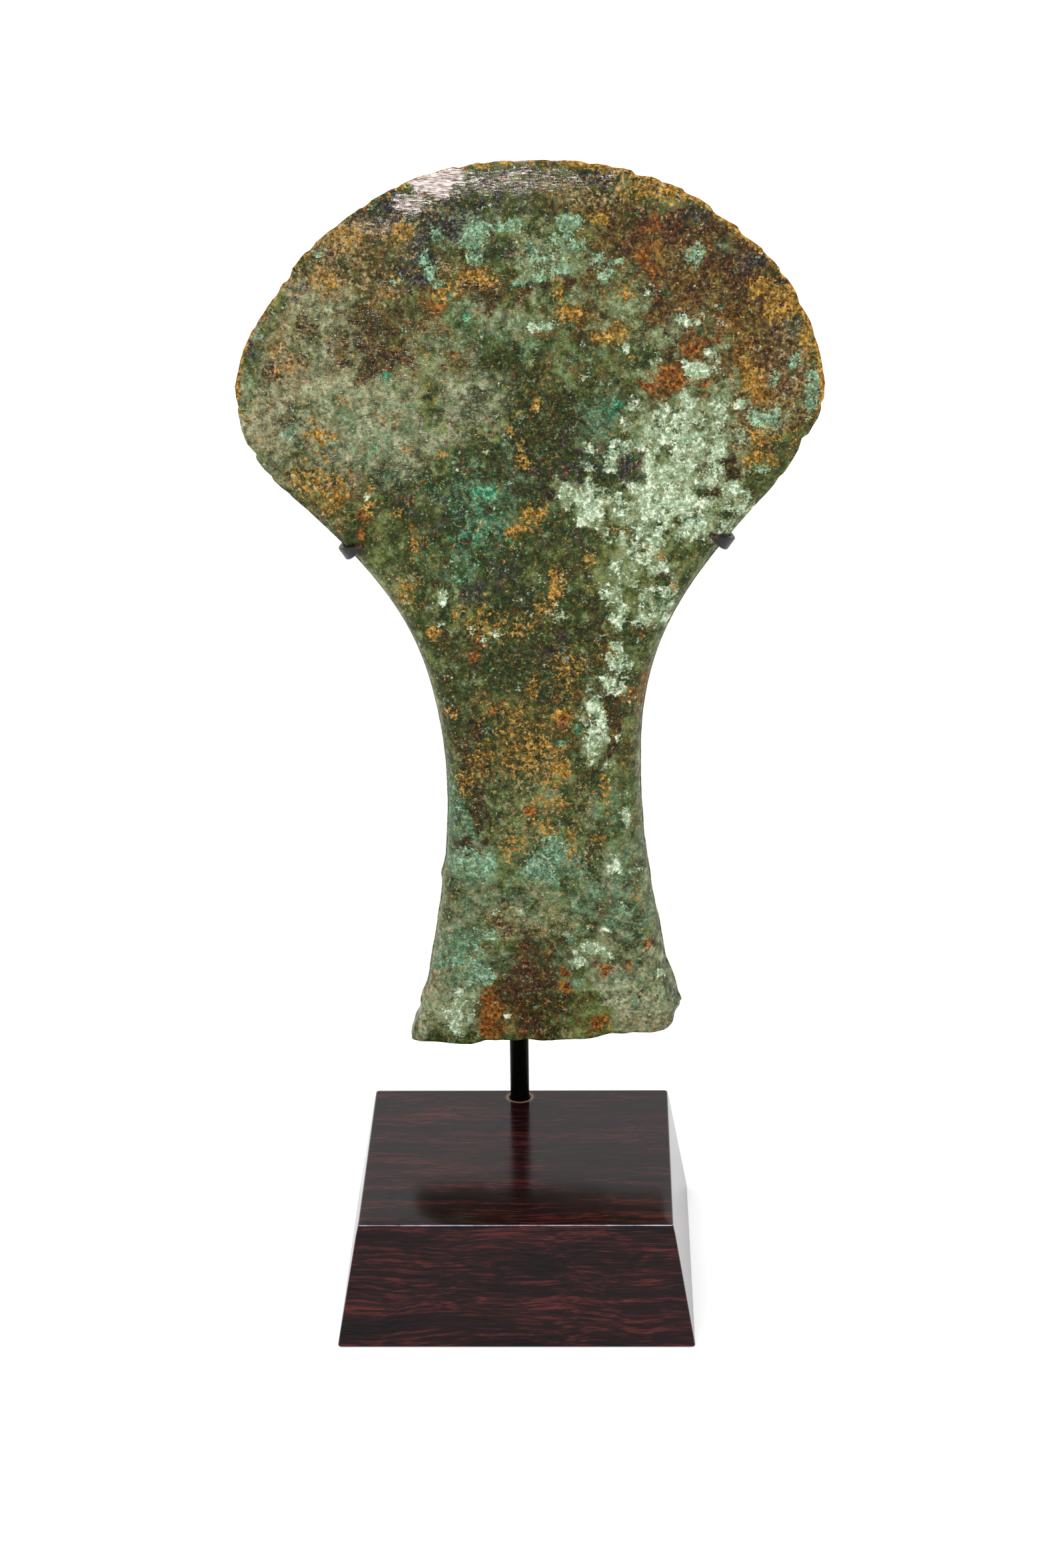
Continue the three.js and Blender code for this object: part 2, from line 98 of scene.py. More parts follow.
# Where the front carries each kind of patina. A row is a place right of the blade's middle and above
# the butt, half the width and half the height of the patch, and the share of it that is covered.
FRONT_PATCHES = {
    # Pale is partly a painted sheen: the broad patches on the left of the blade lighten it where light
    # falls; the rest are paler patina.
    "pale": [
        (16, 6, 7, 7, 0.95), (15, 22, 6, 8, 0.6), (-36, 105, 11, 11, 0.95), (-26, 110, 14, 6, 0.75),
        (-10, 110, 12, 4, 0.55), (-37, 114, 10, 17, 0.85), (-24, 107, 14, 8, 0.7), (-26, 98, 10, 7, 0.55),
        (-6, 123, 5, 4, 0.6), (-15, 113, 12, 7, 0.45), (0, 143, 14, 4, 0.4), (-13, 28, 8, 16, 0.5),
        (-14, 14, 7, 10, 0.6), (16, 10, 9, 10, 0.75), (15, 30, 6, 12, 0.6), (3, 24, 16, 10, 0.35),
        (-17, 5, 6, 6, 0.7), (21, 8, 4, 7, 0.8),
    ],
    "deep": [
        (1, 103, 11, 10, 1), (7, 109, 8, 6, 0.8), (-7, 95, 8, 7, 0.7), (4, 66, 9, 10, 0.75),
        (-2, 78, 10, 8, 0.7), (-7, 92, 9, 8, 0.75), (0, 85, 11, 7, 0.6), (4, 73, 8, 8, 0.65),
        (9, 78, 4, 6, 0.6), (-3, 64, 9, 7, 0.65), (-3, 53, 9, 8, 0.75), (9, 49, 4, 12, 0.85),
        (8, 60, 4, 8, 0.8), (12, 76, 5, 7, 0.65), (-4, 70, 8, 6, 0.8), (-10, 43, 4, 12, 0.7),
        (13, 55, 3, 8, 0.6), (-9, 118, 10, 4, 0.4), (14, 113, 8, 6, 0.5), (26, 104, 8, 8, 0.5),
        (12, 121, 8, 6, 0.45), (18, 130, 8, 8, 0.5), (3, 38, 6, 6, 0.4), (10, 30, 4, 10, 0.4),
        (17, 36, 3, 10, 0.5), (-8, 24, 5, 6, 0.35), (-14, 82, 7, 8, 0.6), (-10, 72, 7, 8, 0.5),
        (21, 120, 8, 6, 0.55), (24, 126, 8, 6, 0.5), (-16, 99, 8, 6, 0.45), (0, 117, 10, 5, 0.4),
        (-16, 136, 6, 5, 0.5), (10, 126, 6, 4, 0.4), (5, 45, 6, 6, 0.5), (34, 96, 4, 6, 0.5),
    ],
    "brown": [
        (32, 122, 12, 14, 1), (22, 132, 13, 8, 0.95), (38, 110, 7, 12, 0.7), (34, 101, 8, 6, 0.6),
        (8, 124, 9, 8, 0.55), (-22, 121, 11, 8, 0.6), (-27, 132, 8, 7, 0.55), (-13, 127, 8, 5, 0.5),
        (6, 141, 10, 4, 0.45), (0, 56, 12, 10, 0.4), (18, 58, 4, 10, 0.5), (-32, 92, 7, 5, 0.45),
        (-1, 10, 9, 12, 0.45), (-40, 116, 4, 7, 0.4),
    ],
    "umber": [
        (-14, 133, 8, 5, 0.35), (-20, 127, 7, 4, 0.35), (-1, 8, 6.5, 8, 0.62), (3, 14, 4, 5, 0.5),
        (14, 133, 8, 6, 0.3), (-18, 84, 5, 6, 0.3), (-12, 66, 5, 6, 0.35), (0, 72, 6, 5, 0.35),
        (-22.8, 121.3, 4, 2.2, 0.8), (-24.2, 116.7, 6.5, 3.6, 0.6), (-8.8, 125.8, 3.2, 3.2, 0.7),
        (0, 127, 2.6, 1.6, 0.8), (-40.5, 113.2, 1.8, 2.2, 0.7), (-34.5, 121, 2, 1.8, 0.7),
        (32.8, 125.3, 3.8, 5.4, 0.75), (39, 129, 1.8, 3.6, 0.7), (22.4, 117.8, 3, 2.6, 0.75),
        (36.8, 101, 2, 1.6, 0.8), (28, 94.2, 2.4, 1.6, 0.95), (31.2, 96.8, 2.4, 1.6, 0.95),
        (30, 99, 2.6, 1.6, 0.7), (2.8, 94.6, 1.4, 1.8, 0.85), (2.6, 67.5, 1.6, 2.4, 0.7),
        (13, 55, 1.5, 5.4, 0.75), (-11.2, 54.5, 3, 5, 0.6), (-8.8, 45, 1.2, 8, 0.8),
        (-11, 36.2, 1.4, 3, 0.75), (2.2, 32.8, 2.2, 0.9, 0.7), (4, 64, 5, 5, 0.35), (10, 72, 5, 6, 0.4),
        (8, 80, 4, 4, 0.4), (21, 80, 2.4, 3, 0.5), (-3, 86, 7, 5, 0.3), (5, 104, 7, 8, 0.35),
        (26, 113, 6, 7, 0.35),
    ],
    "maroon": [
        (5.4, 128, 1.6, 2, 0.8), (19.5, 135.5, 4.6, 5.6, 0.75), (7, 124, 1.6, 1.6, 0.6),
        (3.4, 131.5, 1.8, 1.2, 0.6), (-2, 9, 4.2, 8, 0.55), (-2.5, 14, 2.4, 1.8, 0.95),
        (-3.2, 21, 3.4, 2.6, 0.5), (36, 107, 2.4, 3, 0.5), (40, 122, 2.4, 4, 0.45), (29, 136, 4, 3, 0.5),
        (-38, 108, 2, 3, 0.3), (31, 128, 7, 7, 0.62), (24, 137, 6, 4, 0.62), (37, 116, 4, 6, 0.55),
        (20, 124, 5, 5, 0.5), (14, 139, 5, 4, 0.5), (-41, 112, 2, 3, 0.4),
    ],
    "slate": [
        (16.8, 97.2, 3, 3, 0.6), (7, 100, 4, 6, 0.4), (-13, 138, 9, 3.4, 0.6),
        (-16.5, 134.6, 3.4, 2.2, 0.62), (-11.6, 137, 3, 1.6, 0.72), (-18.6, 131, 2.6, 3.2, 0.62),
        (-23, 129.6, 3.4, 2.6, 0.42), (-24.6, 138.4, 3, 3, 0.6), (-3, 143, 8, 2.6, 0.5),
        (4, 139, 8, 2.4, 0.35), (-10.2, 136.8, 2.6, 1.8, 0.85), (-17, 130.2, 2.8, 2.4, 0.8),
        (-22, 138.5, 2.8, 3.2, 0.75), (11.2, 144, 3.4, 1.4, 0.85), (21.5, 141.5, 3, 1.2, 0.85),
        (-43.2, 117, 1.4, 2.6, 0.7), (-10.2, 145.2, 1.8, 0.9, 0.9), (-6, 140.4, 7, 1.4, 0.5),
        (-28.5, 134.4, 3, 3, 0.45), (-14, 92, 6, 5, 0.4), (-7, 80, 6, 4, 0.4), (-2, 98, 6, 4, 0.3),
        (8, 86, 4, 2.4, 0.35), (11, 98.5, 2.4, 2, 0.5), (26, 138.5, 4, 1.8, 0.6), (34, 131, 2.6, 3, 0.55),
        (41.5, 119, 1.8, 3, 0.5), (-36, 125, 3, 2, 0.4), (-4, 132, 3, 2, 0.4), (3, 69, 3, 3, 0.4),
        (6, 95, 3, 2, 0.5),
    ],
    "verdigris": [
        (-9.4, 90, 7.6, 7, 0.26), (-6.7, 94.4, 2, 1.4, 0.8), (-8, 88.5, 1.6, 1.6, 0.6),
        (-13, 94, 4, 3, 0.3), (-4.5, 86, 3, 3, 0.26), (13, 107.2, 2, 1.4, 0.6), (4, 52.7, 0.9, 0.9, 1),
        (-25, 102, 0.9, 0.8, 0.7), (-22.2, 113.3, 0.9, 0.8, 0.9), (-12, 125.5, 0.8, 0.8, 0.9),
        (-9.3, 122, 0.8, 0.8, 0.9), (-11, 81, 1.6, 1.2, 0.5), (7.2, 56, 1.4, 1, 0.4),
        (21, 77, 1.6, 1.6, 0.5),
    ],
    "chalk": [
        (14, 121, 5, 5, 0.5), (21, 118, 4, 4, 0.4), (17, 111, 5, 4, 0.42), (33, 100, 4, 6, 0.4),
        (22, 94, 12, 6, 0.8), (24, 103, 8, 8, 0.62), (8.5, 92, 4, 4, 0.7), (27, 88, 7, 3, 0.5),
        (19, 81, 8, 7, 0.52), (10.2, 56, 3, 5, 0.45), (26.4, 114, 4, 4, 0.5), (-9, 134, 4.5, 4, 0.4),
        (4, 131, 9, 6, 0.36), (-6, 122, 6, 3, 0.36), (9, 16.5, 5, 4, 0.4), (-13, 5, 4, 5, 0.5),
        (0, 26, 12, 5, 0.25), (-14, 76, 4, 4, 0.3), (-30, 110, 9, 7, 0.3),
    ],
    "sea": [
        (31, 131, 4, 5, 0.5), (38, 118, 4, 5, 0.45), (20, 128, 5, 4, 0.4), (10, 118, 5, 4, 0.4),
        (27, 124, 4, 5, 0.4), (41, 108, 3, 5, 0.4), (-13, 42, 4, 8, 0.5), (2, 33, 7, 5, 0.6),
        (-11, 32, 6, 6, 0.6), (-12, 16, 6, 7, 0.6), (11, 26, 8, 7, 0.5), (-5, 26, 8, 5, 0.45),
        (6, 14, 6, 5, 0.42), (16, 10, 5, 5, 0.35), (-7, 92, 8, 8, 0.42), (12, 104, 6, 5, 0.5),
        (-27, 104, 9, 8, 0.35), (-6, 120, 9, 5, 0.36), (-16, 84, 5, 6, 0.35), (14, 38, 5, 8, 0.42),
        (14, 66, 5, 7, 0.3),
    ],
    "tan": [
        (-28, 134, 4, 4, 0.48), (-21, 135, 4, 3, 0.42), (-32, 128, 5, 4, 0.48), (-37, 122, 4, 6, 0.4),
        (-22, 126.5, 4, 2.5, 0.4), (-39, 114, 4, 6, 0.42), (-28, 112, 8, 5, 0.27), (-41, 104, 3, 6, 0.4),
        (-33, 102.5, 6, 2.5, 0.36), (-31, 96, 6, 5, 0.34), (-15, 140, 6, 3, 0.32), (2, 133, 5, 3, 0.24),
        (14, 142, 8, 3, 0.36), (40, 112, 5, 8, 0.34), (33, 107, 4, 5, 0.28), (-21, 79, 2.4, 6, 0.34),
        (-3, 44, 5, 9, 0.32), (8, 40, 3, 8, 0.27), (2, 24, 9, 6, 0.29), (-17, 10, 3, 8, 0.32),
        (17, 4, 6, 3, 0.29),
    ],
    "teal": [
        (-8.2, 134.8, 1.9, 1.9, 0.8), (-8.4, 131.6, 1.1, 1.6, 0.7), (-4.8, 135.7, 1.4, 0.9, 0.75),
        (-2, 136, 2.4, 1.2, 0.75), (-16, 131.6, 0.9, 1.4, 0.85), (-15.1, 129.5, 1, 1.4, 0.85),
        (-13.8, 127.8, 0.9, 0.8, 0.8), (-1.4, 127.6, 1.7, 0.7, 0.85), (1.6, 128.4, 1.9, 0.7, 0.9),
        (4.8, 129.6, 1.7, 0.8, 0.9), (-14.2, 135, 1.1, 0.8, 0.7), (-31.5, 132, 1.2, 0.9, 0.6),
        (6.2, 137, 2.6, 1.4, 0.8), (4.6, 134.5, 1.8, 0.9, 0.7), (7.8, 133.8, 1.9, 1.3, 0.7),
        (11, 131.7, 1.3, 1.6, 0.7), (14, 130.6, 1.8, 0.9, 0.7), (3.8, 132, 4.4, 2.4, 0.5),
        (12, 128.6, 1.3, 1.4, 0.65), (25.5, 132, 1.9, 1.9, 0.65), (37.4, 106, 2.4, 2.6, 0.75),
        (36.8, 112, 1.6, 1.4, 0.7), (41, 114.5, 1.2, 1.2, 0.6), (44, 109, 1.8, 3.4, 0.75),
        (37, 97.5, 1.2, 1.2, 0.6), (-42, 120, 1.4, 1.2, 0.6), (-38, 104, 1.6, 1.4, 0.6),
        (25, 102.6, 1.8, 1.2, 0.6), (25.2, 89, 1.8, 1.6, 0.55), (1.5, 33, 4, 4.8, 0.55),
        (-9.4, 32.3, 3.4, 2.8, 0.7), (-9.7, 14, 3.2, 3, 0.75), (-7.1, 19.7, 2, 1.6, 0.65),
        (5.5, 19.5, 1.3, 1, 0.6), (7, 11, 1.3, 1, 0.6), (-13, 45, 3, 5, 0.3),
    ],
    "ochre": [
        (21.5, 142, 6, 2.2, 0.6), (40, 124, 5.2, 5, 0.6), (44.2, 117, 1.8, 2.8, 0.7),
        (33.8, 113, 2.6, 4, 0.62), (35.3, 109.5, 3, 1.8, 0.62), (36.8, 103, 3.6, 1.8, 0.6),
        (42.2, 104, 1.4, 0.9, 0.6), (36.8, 99, 3.2, 1.4, 0.65), (5.1, 123.2, 3.2, 1.9, 0.8),
        (4, 127, 0.9, 2, 0.6), (11.2, 137.8, 1.6, 1.2, 0.7), (12.6, 119.2, 3.2, 1.6, 0.7),
        (15, 125, 1.4, 1.4, 0.6), (-8.4, 128.1, 2.4, 1.4, 0.7), (-13.2, 126, 3, 3.2, 0.49),
        (-28, 133.9, 2.4, 2.4, 0.54), (-20.9, 135, 2.4, 2.2, 0.54), (-32, 127.8, 2.4, 2.2, 0.54),
        (-22.2, 126.2, 1.6, 1.1, 0.49), (-38.4, 114, 1.7, 1.8, 0.49), (-39.5, 118, 1.9, 2.2, 0.44),
        (-28, 108.5, 2.2, 1, 0.44), (-22.2, 106.3, 1.6, 1, 0.44), (-34, 105.6, 1.2, 0.9, 0.44),
        (-33.2, 103, 2.9, 1.2, 0.69), (-32, 100, 1.2, 0.9, 0.44), (-13.6, 101, 1.2, 0.9, 0.44),
        (-19, 102, 1.3, 0.9, 0.44), (-3.5, 104.7, 1.1, 0.8, 0.6), (0.9, 108.4, 0.9, 1.6, 0.7),
        (-1, 100, 1.2, 2.2, 0.5), (-43, 107, 1.2, 1.4, 0.44), (-31, 93.3, 3.4, 2.6, 0.6),
        (-25.4, 92, 1.2, 3, 0.6), (-21, 91, 1.6, 1, 0.55), (-18, 86, 1.8, 1.6, 0.55),
        (0.5, 91.5, 1.7, 1.9, 0.7), (-1.5, 88.2, 2.9, 1.5, 0.65), (9, 84, 1.2, 1.2, 0.65),
        (20, 84.4, 1.4, 1.4, 0.6), (4.4, 79.4, 2, 2.2, 0.7), (2.2, 76, 2.1, 1.9, 0.65),
        (22, 78.5, 1.4, 0.9, 0.6), (-16.2, 71.2, 1.2, 1.5, 0.8), (-3, 72, 1.6, 1, 0.5),
        (5.8, 64.7, 3, 4.4, 0.35), (0.5, 63, 0.9, 2.4, 0.6), (-4.4, 57.4, 4.6, 3.4, 0.4),
        (5.5, 58, 2.1, 1.6, 0.75), (-2.7, 52, 5.8, 5.6, 0.4), (3.2, 48.5, 2.2, 1.8, 0.7),
        (0.7, 46.5, 2.6, 1, 0.5), (1.5, 43, 3, 1.2, 0.55), (1, 38.2, 3.6, 1.5, 0.5),
        (12, 44.7, 1.3, 3.6, 0.5), (10.4, 37, 1, 1, 0.5), (-10.8, 47.6, 1.4, 2.4, 0.6),
        (-13.5, 58.5, 1.2, 1.2, 0.5), (15.2, 61.5, 1.5, 1.7, 0.5), (6, 36, 1, 4.2, 0.5),
        (-4.5, 36.2, 2.8, 2.4, 0.4), (16.5, 27, 1.2, 1, 0.5), (-18, 60, 1.2, 5, 0.4), (12, 68, 3, 3, 0.4),
        (-8, 74, 6, 3, 0.35), (-35, 96, 4, 3, 0.5), (-20, 78, 2, 3, 0.45),
    ],
    "rust": [
        (30, 119, 3, 5, 0.42), (19, 131, 2.5, 6, 0.42), (36, 110, 2, 5, 0.4), (24, 112, 5, 3, 0.5),
        (22.2, 113.2, 2.8, 1.8, 0.85), (20.5, 111.8, 4.4, 1, 0.75), (26.4, 118, 1.9, 1.2, 0.75),
        (-9.5, 68, 1.2, 2.4, 0.6), (-7.6, 7, 2.6, 6.4, 0.72), (-5, 3, 2, 2, 0.5),
        (4.9, 11, 1.1, 2.5, 0.75), (9.4, 3.8, 2.5, 1.6, 0.8), (11.5, 13.4, 1.7, 1.5, 0.7),
        (15.5, 14.3, 1.2, 1, 0.6), (18.5, 18, 1.2, 1.2, 0.6), (-1, 41.2, 1.5, 1.1, 0.95),
        (5.5, 57.5, 1, 1.2, 0.8), (-6, 58, 1.4, 1.6, 0.5), (-26, 89, 1.2, 2.4, 0.5),
        (-18.4, 88, 0.9, 2.8, 0.4), (-9, 71, 1.6, 1.4, 0.4), (-14, 124, 2.6, 1.4, 0.4),
        (18, 62, 1.4, 3, 0.4),
    ],
    "crust": [
        (22.9, 93.5, 10.4, 4.8, 0.73), (24, 102, 6.2, 6.2, 0.62), (8.5, 91.9, 3.2, 3.6, 0.77),
        (13, 93, 3, 2.4, 0.56), (21, 87.2, 9.6, 2.8, 0.52), (18.2, 80.2, 6.8, 4.4, 0.47),
        (19.5, 75.2, 2.6, 2.9, 0.62), (13.5, 73.7, 1.7, 1.4, 0.66), (13.5, 68.2, 2.1, 3.4, 0.68),
        (13.7, 62.5, 2.4, 2.7, 0.56), (10.2, 56, 2.4, 3.6, 0.73), (14.1, 54.5, 1, 1, 0.66),
        (11.7, 98.5, 3.8, 2.6, 0.47), (15.9, 101.7, 2.6, 1.8, 0.62), (16.3, 108, 1.5, 1.2, 0.56),
        (26.6, 114, 2.5, 2.9, 0.77), (14.7, 116.5, 1, 1.6, 0.56), (19.9, 115, 1.3, 1.2, 0.56),
        (24.3, 122.3, 1.9, 1.2, 0.7), (28.5, 120.7, 1.7, 0.9, 0.66), (0, 121, 2.7, 1.2, 0.52),
        (9, 112.5, 1.1, 0.9, 0.52), (33.1, 107.2, 1.2, 1.3, 0.61), (32.2, 102.6, 1.8, 2.2, 0.52),
        (18, 126, 2.1, 1.1, 0.56), (-14.6, 77.7, 1.3, 1.3, 0.66), (-12, 81, 1, 1, 0.56),
        (-25.5, 93.5, 0.9, 0.8, 0.56), (-6.5, 71, 3, 1.2, 0.33), (13.3, 32.5, 1.4, 2.1, 0.85),
        (16.5, 31.5, 0.9, 0.8, 0.66), (13.2, 49.5, 1.4, 0.9, 0.56), (15, 42.3, 1.1, 2.4, 0.52),
        (9.9, 17, 2.9, 1.5, 0.66), (7.2, 14.3, 1.4, 1.4, 0.66), (11.6, 20.7, 1.2, 0.8, 0.56),
        (20.4, 13, 0.9, 0.9, 0.56), (-13, 9.8, 1, 0.9, 0.66), (-11.5, 11.7, 0.9, 0.9, 0.56),
        (-2.3, 24, 0.8, 0.8, 0.66), (-6, 24, 0.8, 0.7, 0.56), (-5, 5, 0.8, 0.8, 0.56),
        (-12.8, 4.5, 2.9, 4, 0.52), (0.8, 80.5, 2, 1.6, 0.33), (4, 76, 3, 2.4, 0.28),
        (16, 66, 2, 4, 0.33), (28, 88, 4, 2, 0.42),
    ],
    "worn_metal": [
        (-13.5, 142.6, 6.4, 2.4, 1), (-19.5, 139.6, 3.2, 2, 0.62), (-4, 142.4, 6, 2.8, 0.42),
        (6, 143.2, 8, 2.2, 0.36), (-25, 136, 3, 2, 0.32), (-22, 116, 20, 20, 0.17),
        (10, 128, 18, 12, 0.12),
    ],
}

# How much rarer a patina gets outside its patches, and what holds for all that aren't named.
OUTSIDE_PATCHES = {"crust": 0.15, "teal": 0.12, "worn_metal": 0.2, "chalk": 0.02, "sea": 0.0}
OUTSIDE_OTHERS = 0.04

# Lumps and notches of the rim below the blade: x right of the blade's middle, height above the butt,
# how far the rim moves right and up there, and how far along it that reaches, in millimetres.
RIM_LUMPS = [
    (-19.4, 2, -0.9, 0, 3.6), (-19.8, 0.2, -0.6, -0.1, 1.4), (-19.2, 7.6, -0.25, 0, 1.6),
    (-18.6, 10.6, 0.18, 0, 1.8), (-15.6, 29.4, -0.4, 0, 1.4), (21, 4, 0.9, -0.5, 3),
    (22.2, 10.2, 0.2, 0, 2.4), (21.2, 14.6, -0.25, 0, 1.8), (19, 21, 0.3, 0, 1.5),
    (12.5, 0.8, 0, 0.5, 1.6), (-1, 0, 0, 0.35, 1.3), (-8.5, 0, 0, 0.4, 1.5),
]

# Places where the crust has fallen away and left dark brown, in the same terms.
HOLES_IN_CRUST = [
    (16.5, 97.5, 3, 2.4, 0.6), (14.5, 94.5, 1.2, 2.4, 0.5), (21, 100.6, 2.2, 1.8, 0.4),
    (25, 85, 3, 1.4, 0.4), (27.8, 94.1, 1.9, 1.2, 1), (31.3, 96.8, 1.8, 1.2, 1), (30, 98.8, 2.4, 1, 0.8),
    (12, 96, 1.6, 1.2, 0.7), (11.6, 91, 0.7, 2.4, 0.6), (21.5, 91.5, 0.8, 0.8, 0.5),
    (17.4, 89.6, 1.4, 0.8, 0.6), (23.4, 82.5, 1.4, 1.8, 0.7), (20.5, 79.6, 1.3, 1.6, 0.9),
    (16.2, 77.6, 1.2, 1.2, 0.6), (26, 104.6, 1.2, 0.8, 0.6), (20.6, 99.5, 1, 1.4, 0.5),
    (12.6, 57.3, 0.9, 2.6, 0.8), (15.6, 70, 1, 2, 0.7), (13, 85, 2, 1.2, 0.6),
]

# What little of each patina lies everywhere, and what the plainer back carries in larger clouds.
EVERYWHERE = {
    "pale": (0.02, 0.35, 14),
    "deep": (0.42, 0.4, 12),
    "brown": (-0.02, 0.34, 11),
    "umber": (0.0, 0.36, 6),
    "maroon": (-0.3, 0.25, 9),
    "slate": (-0.14, 0.34, 7),
    "verdigris": (-0.42, 0.3, 8),
    "sea": (-0.3, 0.4, 10),
    "chalk": (-0.32, 0.45, 9),
    "tan": (-0.26, 0.4, 7),
    "teal": (-0.5, 0.4, 8),
    "ochre": (-0.1, 0.4, 5),
    "rust": (-0.34, 0.36, 5),
    "crust": (-0.7, 0.45, 5),
    "worn_metal": (-0.6, 0.1, 5),
}
BACK_CLOUDS = {
    "pale": (0.3, 0.8, 22),
    "deep": (0.35, 0.7, 20),
    "brown": (0.1, 0.8, 18),
    "umber": (0.1, 0.6, 10),
    "maroon": (-0.1, 0.7, 12),
    "slate": (-0.1, 0.5, 9),
    "verdigris": (-0.3, 0.6, 10),
    "sea": (0.1, 0.8, 15),
    "chalk": (-0.1, 0.9, 14),
    "tan": (-0.05, 0.7, 9),
    "teal": (-0.25, 0.8, 9),
    "ochre": (0.05, 0.7, 8),
    "rust": (-0.25, 0.7, 7),
    "crust": (-0.15, 1.1, 12),
    "worn_metal": (-0.6, 0.1, 5),
}


def to_linear(hex_colour):
    """An sRGB colour such as #5d6144 as the linear red, green, blue and alpha that shaders take."""
    parts = [int(hex_colour[i : i + 2], 16) / 255 for i in (1, 3, 5)]
    return tuple(c / 12.92 if c <= 0.04045 else ((c + 0.055) / 1.055) ** 2.4 for c in parts) + (1.0,)


def length(label, millimetres, about):
    """A length property, kept in metres."""
    return FloatProperty(
        name=label,
        description=about,
        default=millimetres * MM,
        min=0.0,
        precision=5,
        subtype="DISTANCE",
        unit="LENGTH",
    )


def colour(label, hex_colour, about):
    """A colour property, kept as linear red, green and blue."""
    return FloatVectorProperty(
        name=label,
        description=about,
        default=to_linear(hex_colour)[:3],
        size=3,
        min=0.0,
        max=1.0,
        subtype="COLOR",
    )


class AxeHeadSizes(bpy.types.PropertyGroup):
    """Sizes of the bronze head and of its skin."""

    height: length("Height", 146.2, "From the lowest point of the butt to the top of the edge")
    blade_width: length("Blade width", 92.5, "Across the widest level")
    horn_height: length("Horn height", 111, "Of the widest level above the butt")
    lift: length("Lift", 15, "From the plinth's top to the butt")
    offset: length("Offset", 2.85, "How far the blade's middle lies right of the plinth's")
    shank_thickness: length("Shank thickness", 10, "Of the shank at its thickest")
    edge_thickness: length("Edge thickness", 0.8, "Of the cutting edge")
    bevel_thickness: length("Bevel thickness", 2.2, "Where the sharpened band meets the blade")
    bevel_width: length("Bevel width", 5, "Of the sharpened band")
    rim_round: length("Rounding of the sides", 4, "How far in the blunt sides are rounded over")
    worn_edge: length("Worn edge", 0.22, "Rounding of every outer edge by wear")
    crust_height: length("Crust height", 0.14, "How far the pale crust stands up")
    pit_depth: length("Pit depth", 0.16, "Of the corrosion pits")
    hammer_depth: length("Hammer marks", 0.09, "Depth of the shallow hammered hollows")
    blade_swell: FloatProperty(
        name="Blade swell",
        description="Thickness gained for each length further in from the bevel",
        default=0.13,
        min=0.0,
        subtype="FACTOR",
    )


class StandSizes(bpy.types.PropertyGroup):
    """Sizes of the cradle strap, the rod and the plinth."""

    strap_width: length("Strap width", 2.2, "Of the flat strip")
    strap_thickness: length("Strap thickness", 0.9, "Of the flat strip")
    strap_left: length("Strap left height", 84.5, "Where it meets the head's left edge")
    strap_right: length("Strap right height", 85.8, "Where it meets the head's right edge")
    strap_arch: length("Strap arch", 5, "How much higher it crosses the rod")
    solder_height: length("Solder height", 1.8, "Of the solder between strap and rod")
    rod_diameter: length("Rod diameter", 3.2, "Of the upright rod")
    rod_setback: length("Rod setback", 2.85, "From the plinth's back edge to the rod's middle")
    rod_offset: FloatProperty(
        name="Rod offset",
        description="How far the rod stands right of the plinth's middle",
        default=-0.25 * MM,
        subtype="DISTANCE",
        unit="LENGTH",
    )
    rod_socket: length("Rod socket", 12, "Depth of the rod's blind hole")
    rod_rise: length("Rod rise", 0.8, "How far the rod stands above the strap")
    plinth_width: length("Plinth width", 50, "Across its top")
    plinth_depth: length("Plinth depth", 50, "Its top from front to back")
    plinth_height: length("Plinth height", 20, "From the floor to its top")
    plinth_spread: length("Plinth spread", 3.5, "How far each side runs out to the base")
    plinth_arris: length("Plinth arris", 0.4, "Rounding of its edges")
    touch_gap: length("Gap", 0.3, "Between pieces that touch")


class Finishes(bpy.types.PropertyGroup):
    """Main colours of the finishes."""

    green_dark: colour("Dark green", "#22300b", "Copper green in the hollows")
    green_mid: colour("Green", "#455125", "Copper green over most of the head")
    green_light: colour("Light green", "#78834c", "Copper green where it is rubbed")
    wood_dark: colour("Dark vein", "#060304", "Black veins of the rosewood")
    wood_mid: colour("Rosewood", "#1e0b0d", "Red-brown of the rosewood")
    wood_light: colour("Light grain", "#562320", "Lightest grain of the rosewood")
    paint: colour("Black paint", "#030302", "Satin black paint of the strap and rod")
    # Brown at the strap's tips: partly paint rubbed through, partly a painted glint and reflection of the
    # bronze.
    bare_metal_and_glint: colour("Rubbed paint", "#543016", "Copper brown where the paint is rubbed through")


def shape_curve(rows, share):
    """Points of a smooth curve through rows of numbers, at shares 0 to 1 of its count of steps.

    Each step is a cubic whose slope at a row is half the difference of the rows on either side of
    it; the ends go on as straight lines.
    """
    rows = np.asarray(rows, float)
    rows = np.vstack([2 * rows[0] - rows[1], rows, 2 * rows[-1] - rows[-2]])
    steps = len(rows) - 3
    along = np.clip(share, 0, 1) * steps
    start = np.minimum(along.astype(int), steps - 1)
    t = (along - start)[..., None]
    a, b, c, d = (rows[start + k] for k in range(4))
    return b + 0.5 * t * (c - a + t * (2 * a - 5 * b + 4 * c - d + t * (3 * (b - c) + d - a)))


def smoothstep(value, low, high):
    """0 below low, 1 above high and the cubic 3t² - 2t³ between them."""
    t = np.clip((value - low) / (high - low), 0, 1)
    return t * t * (3 - 2 * t)


LATTICE = 97


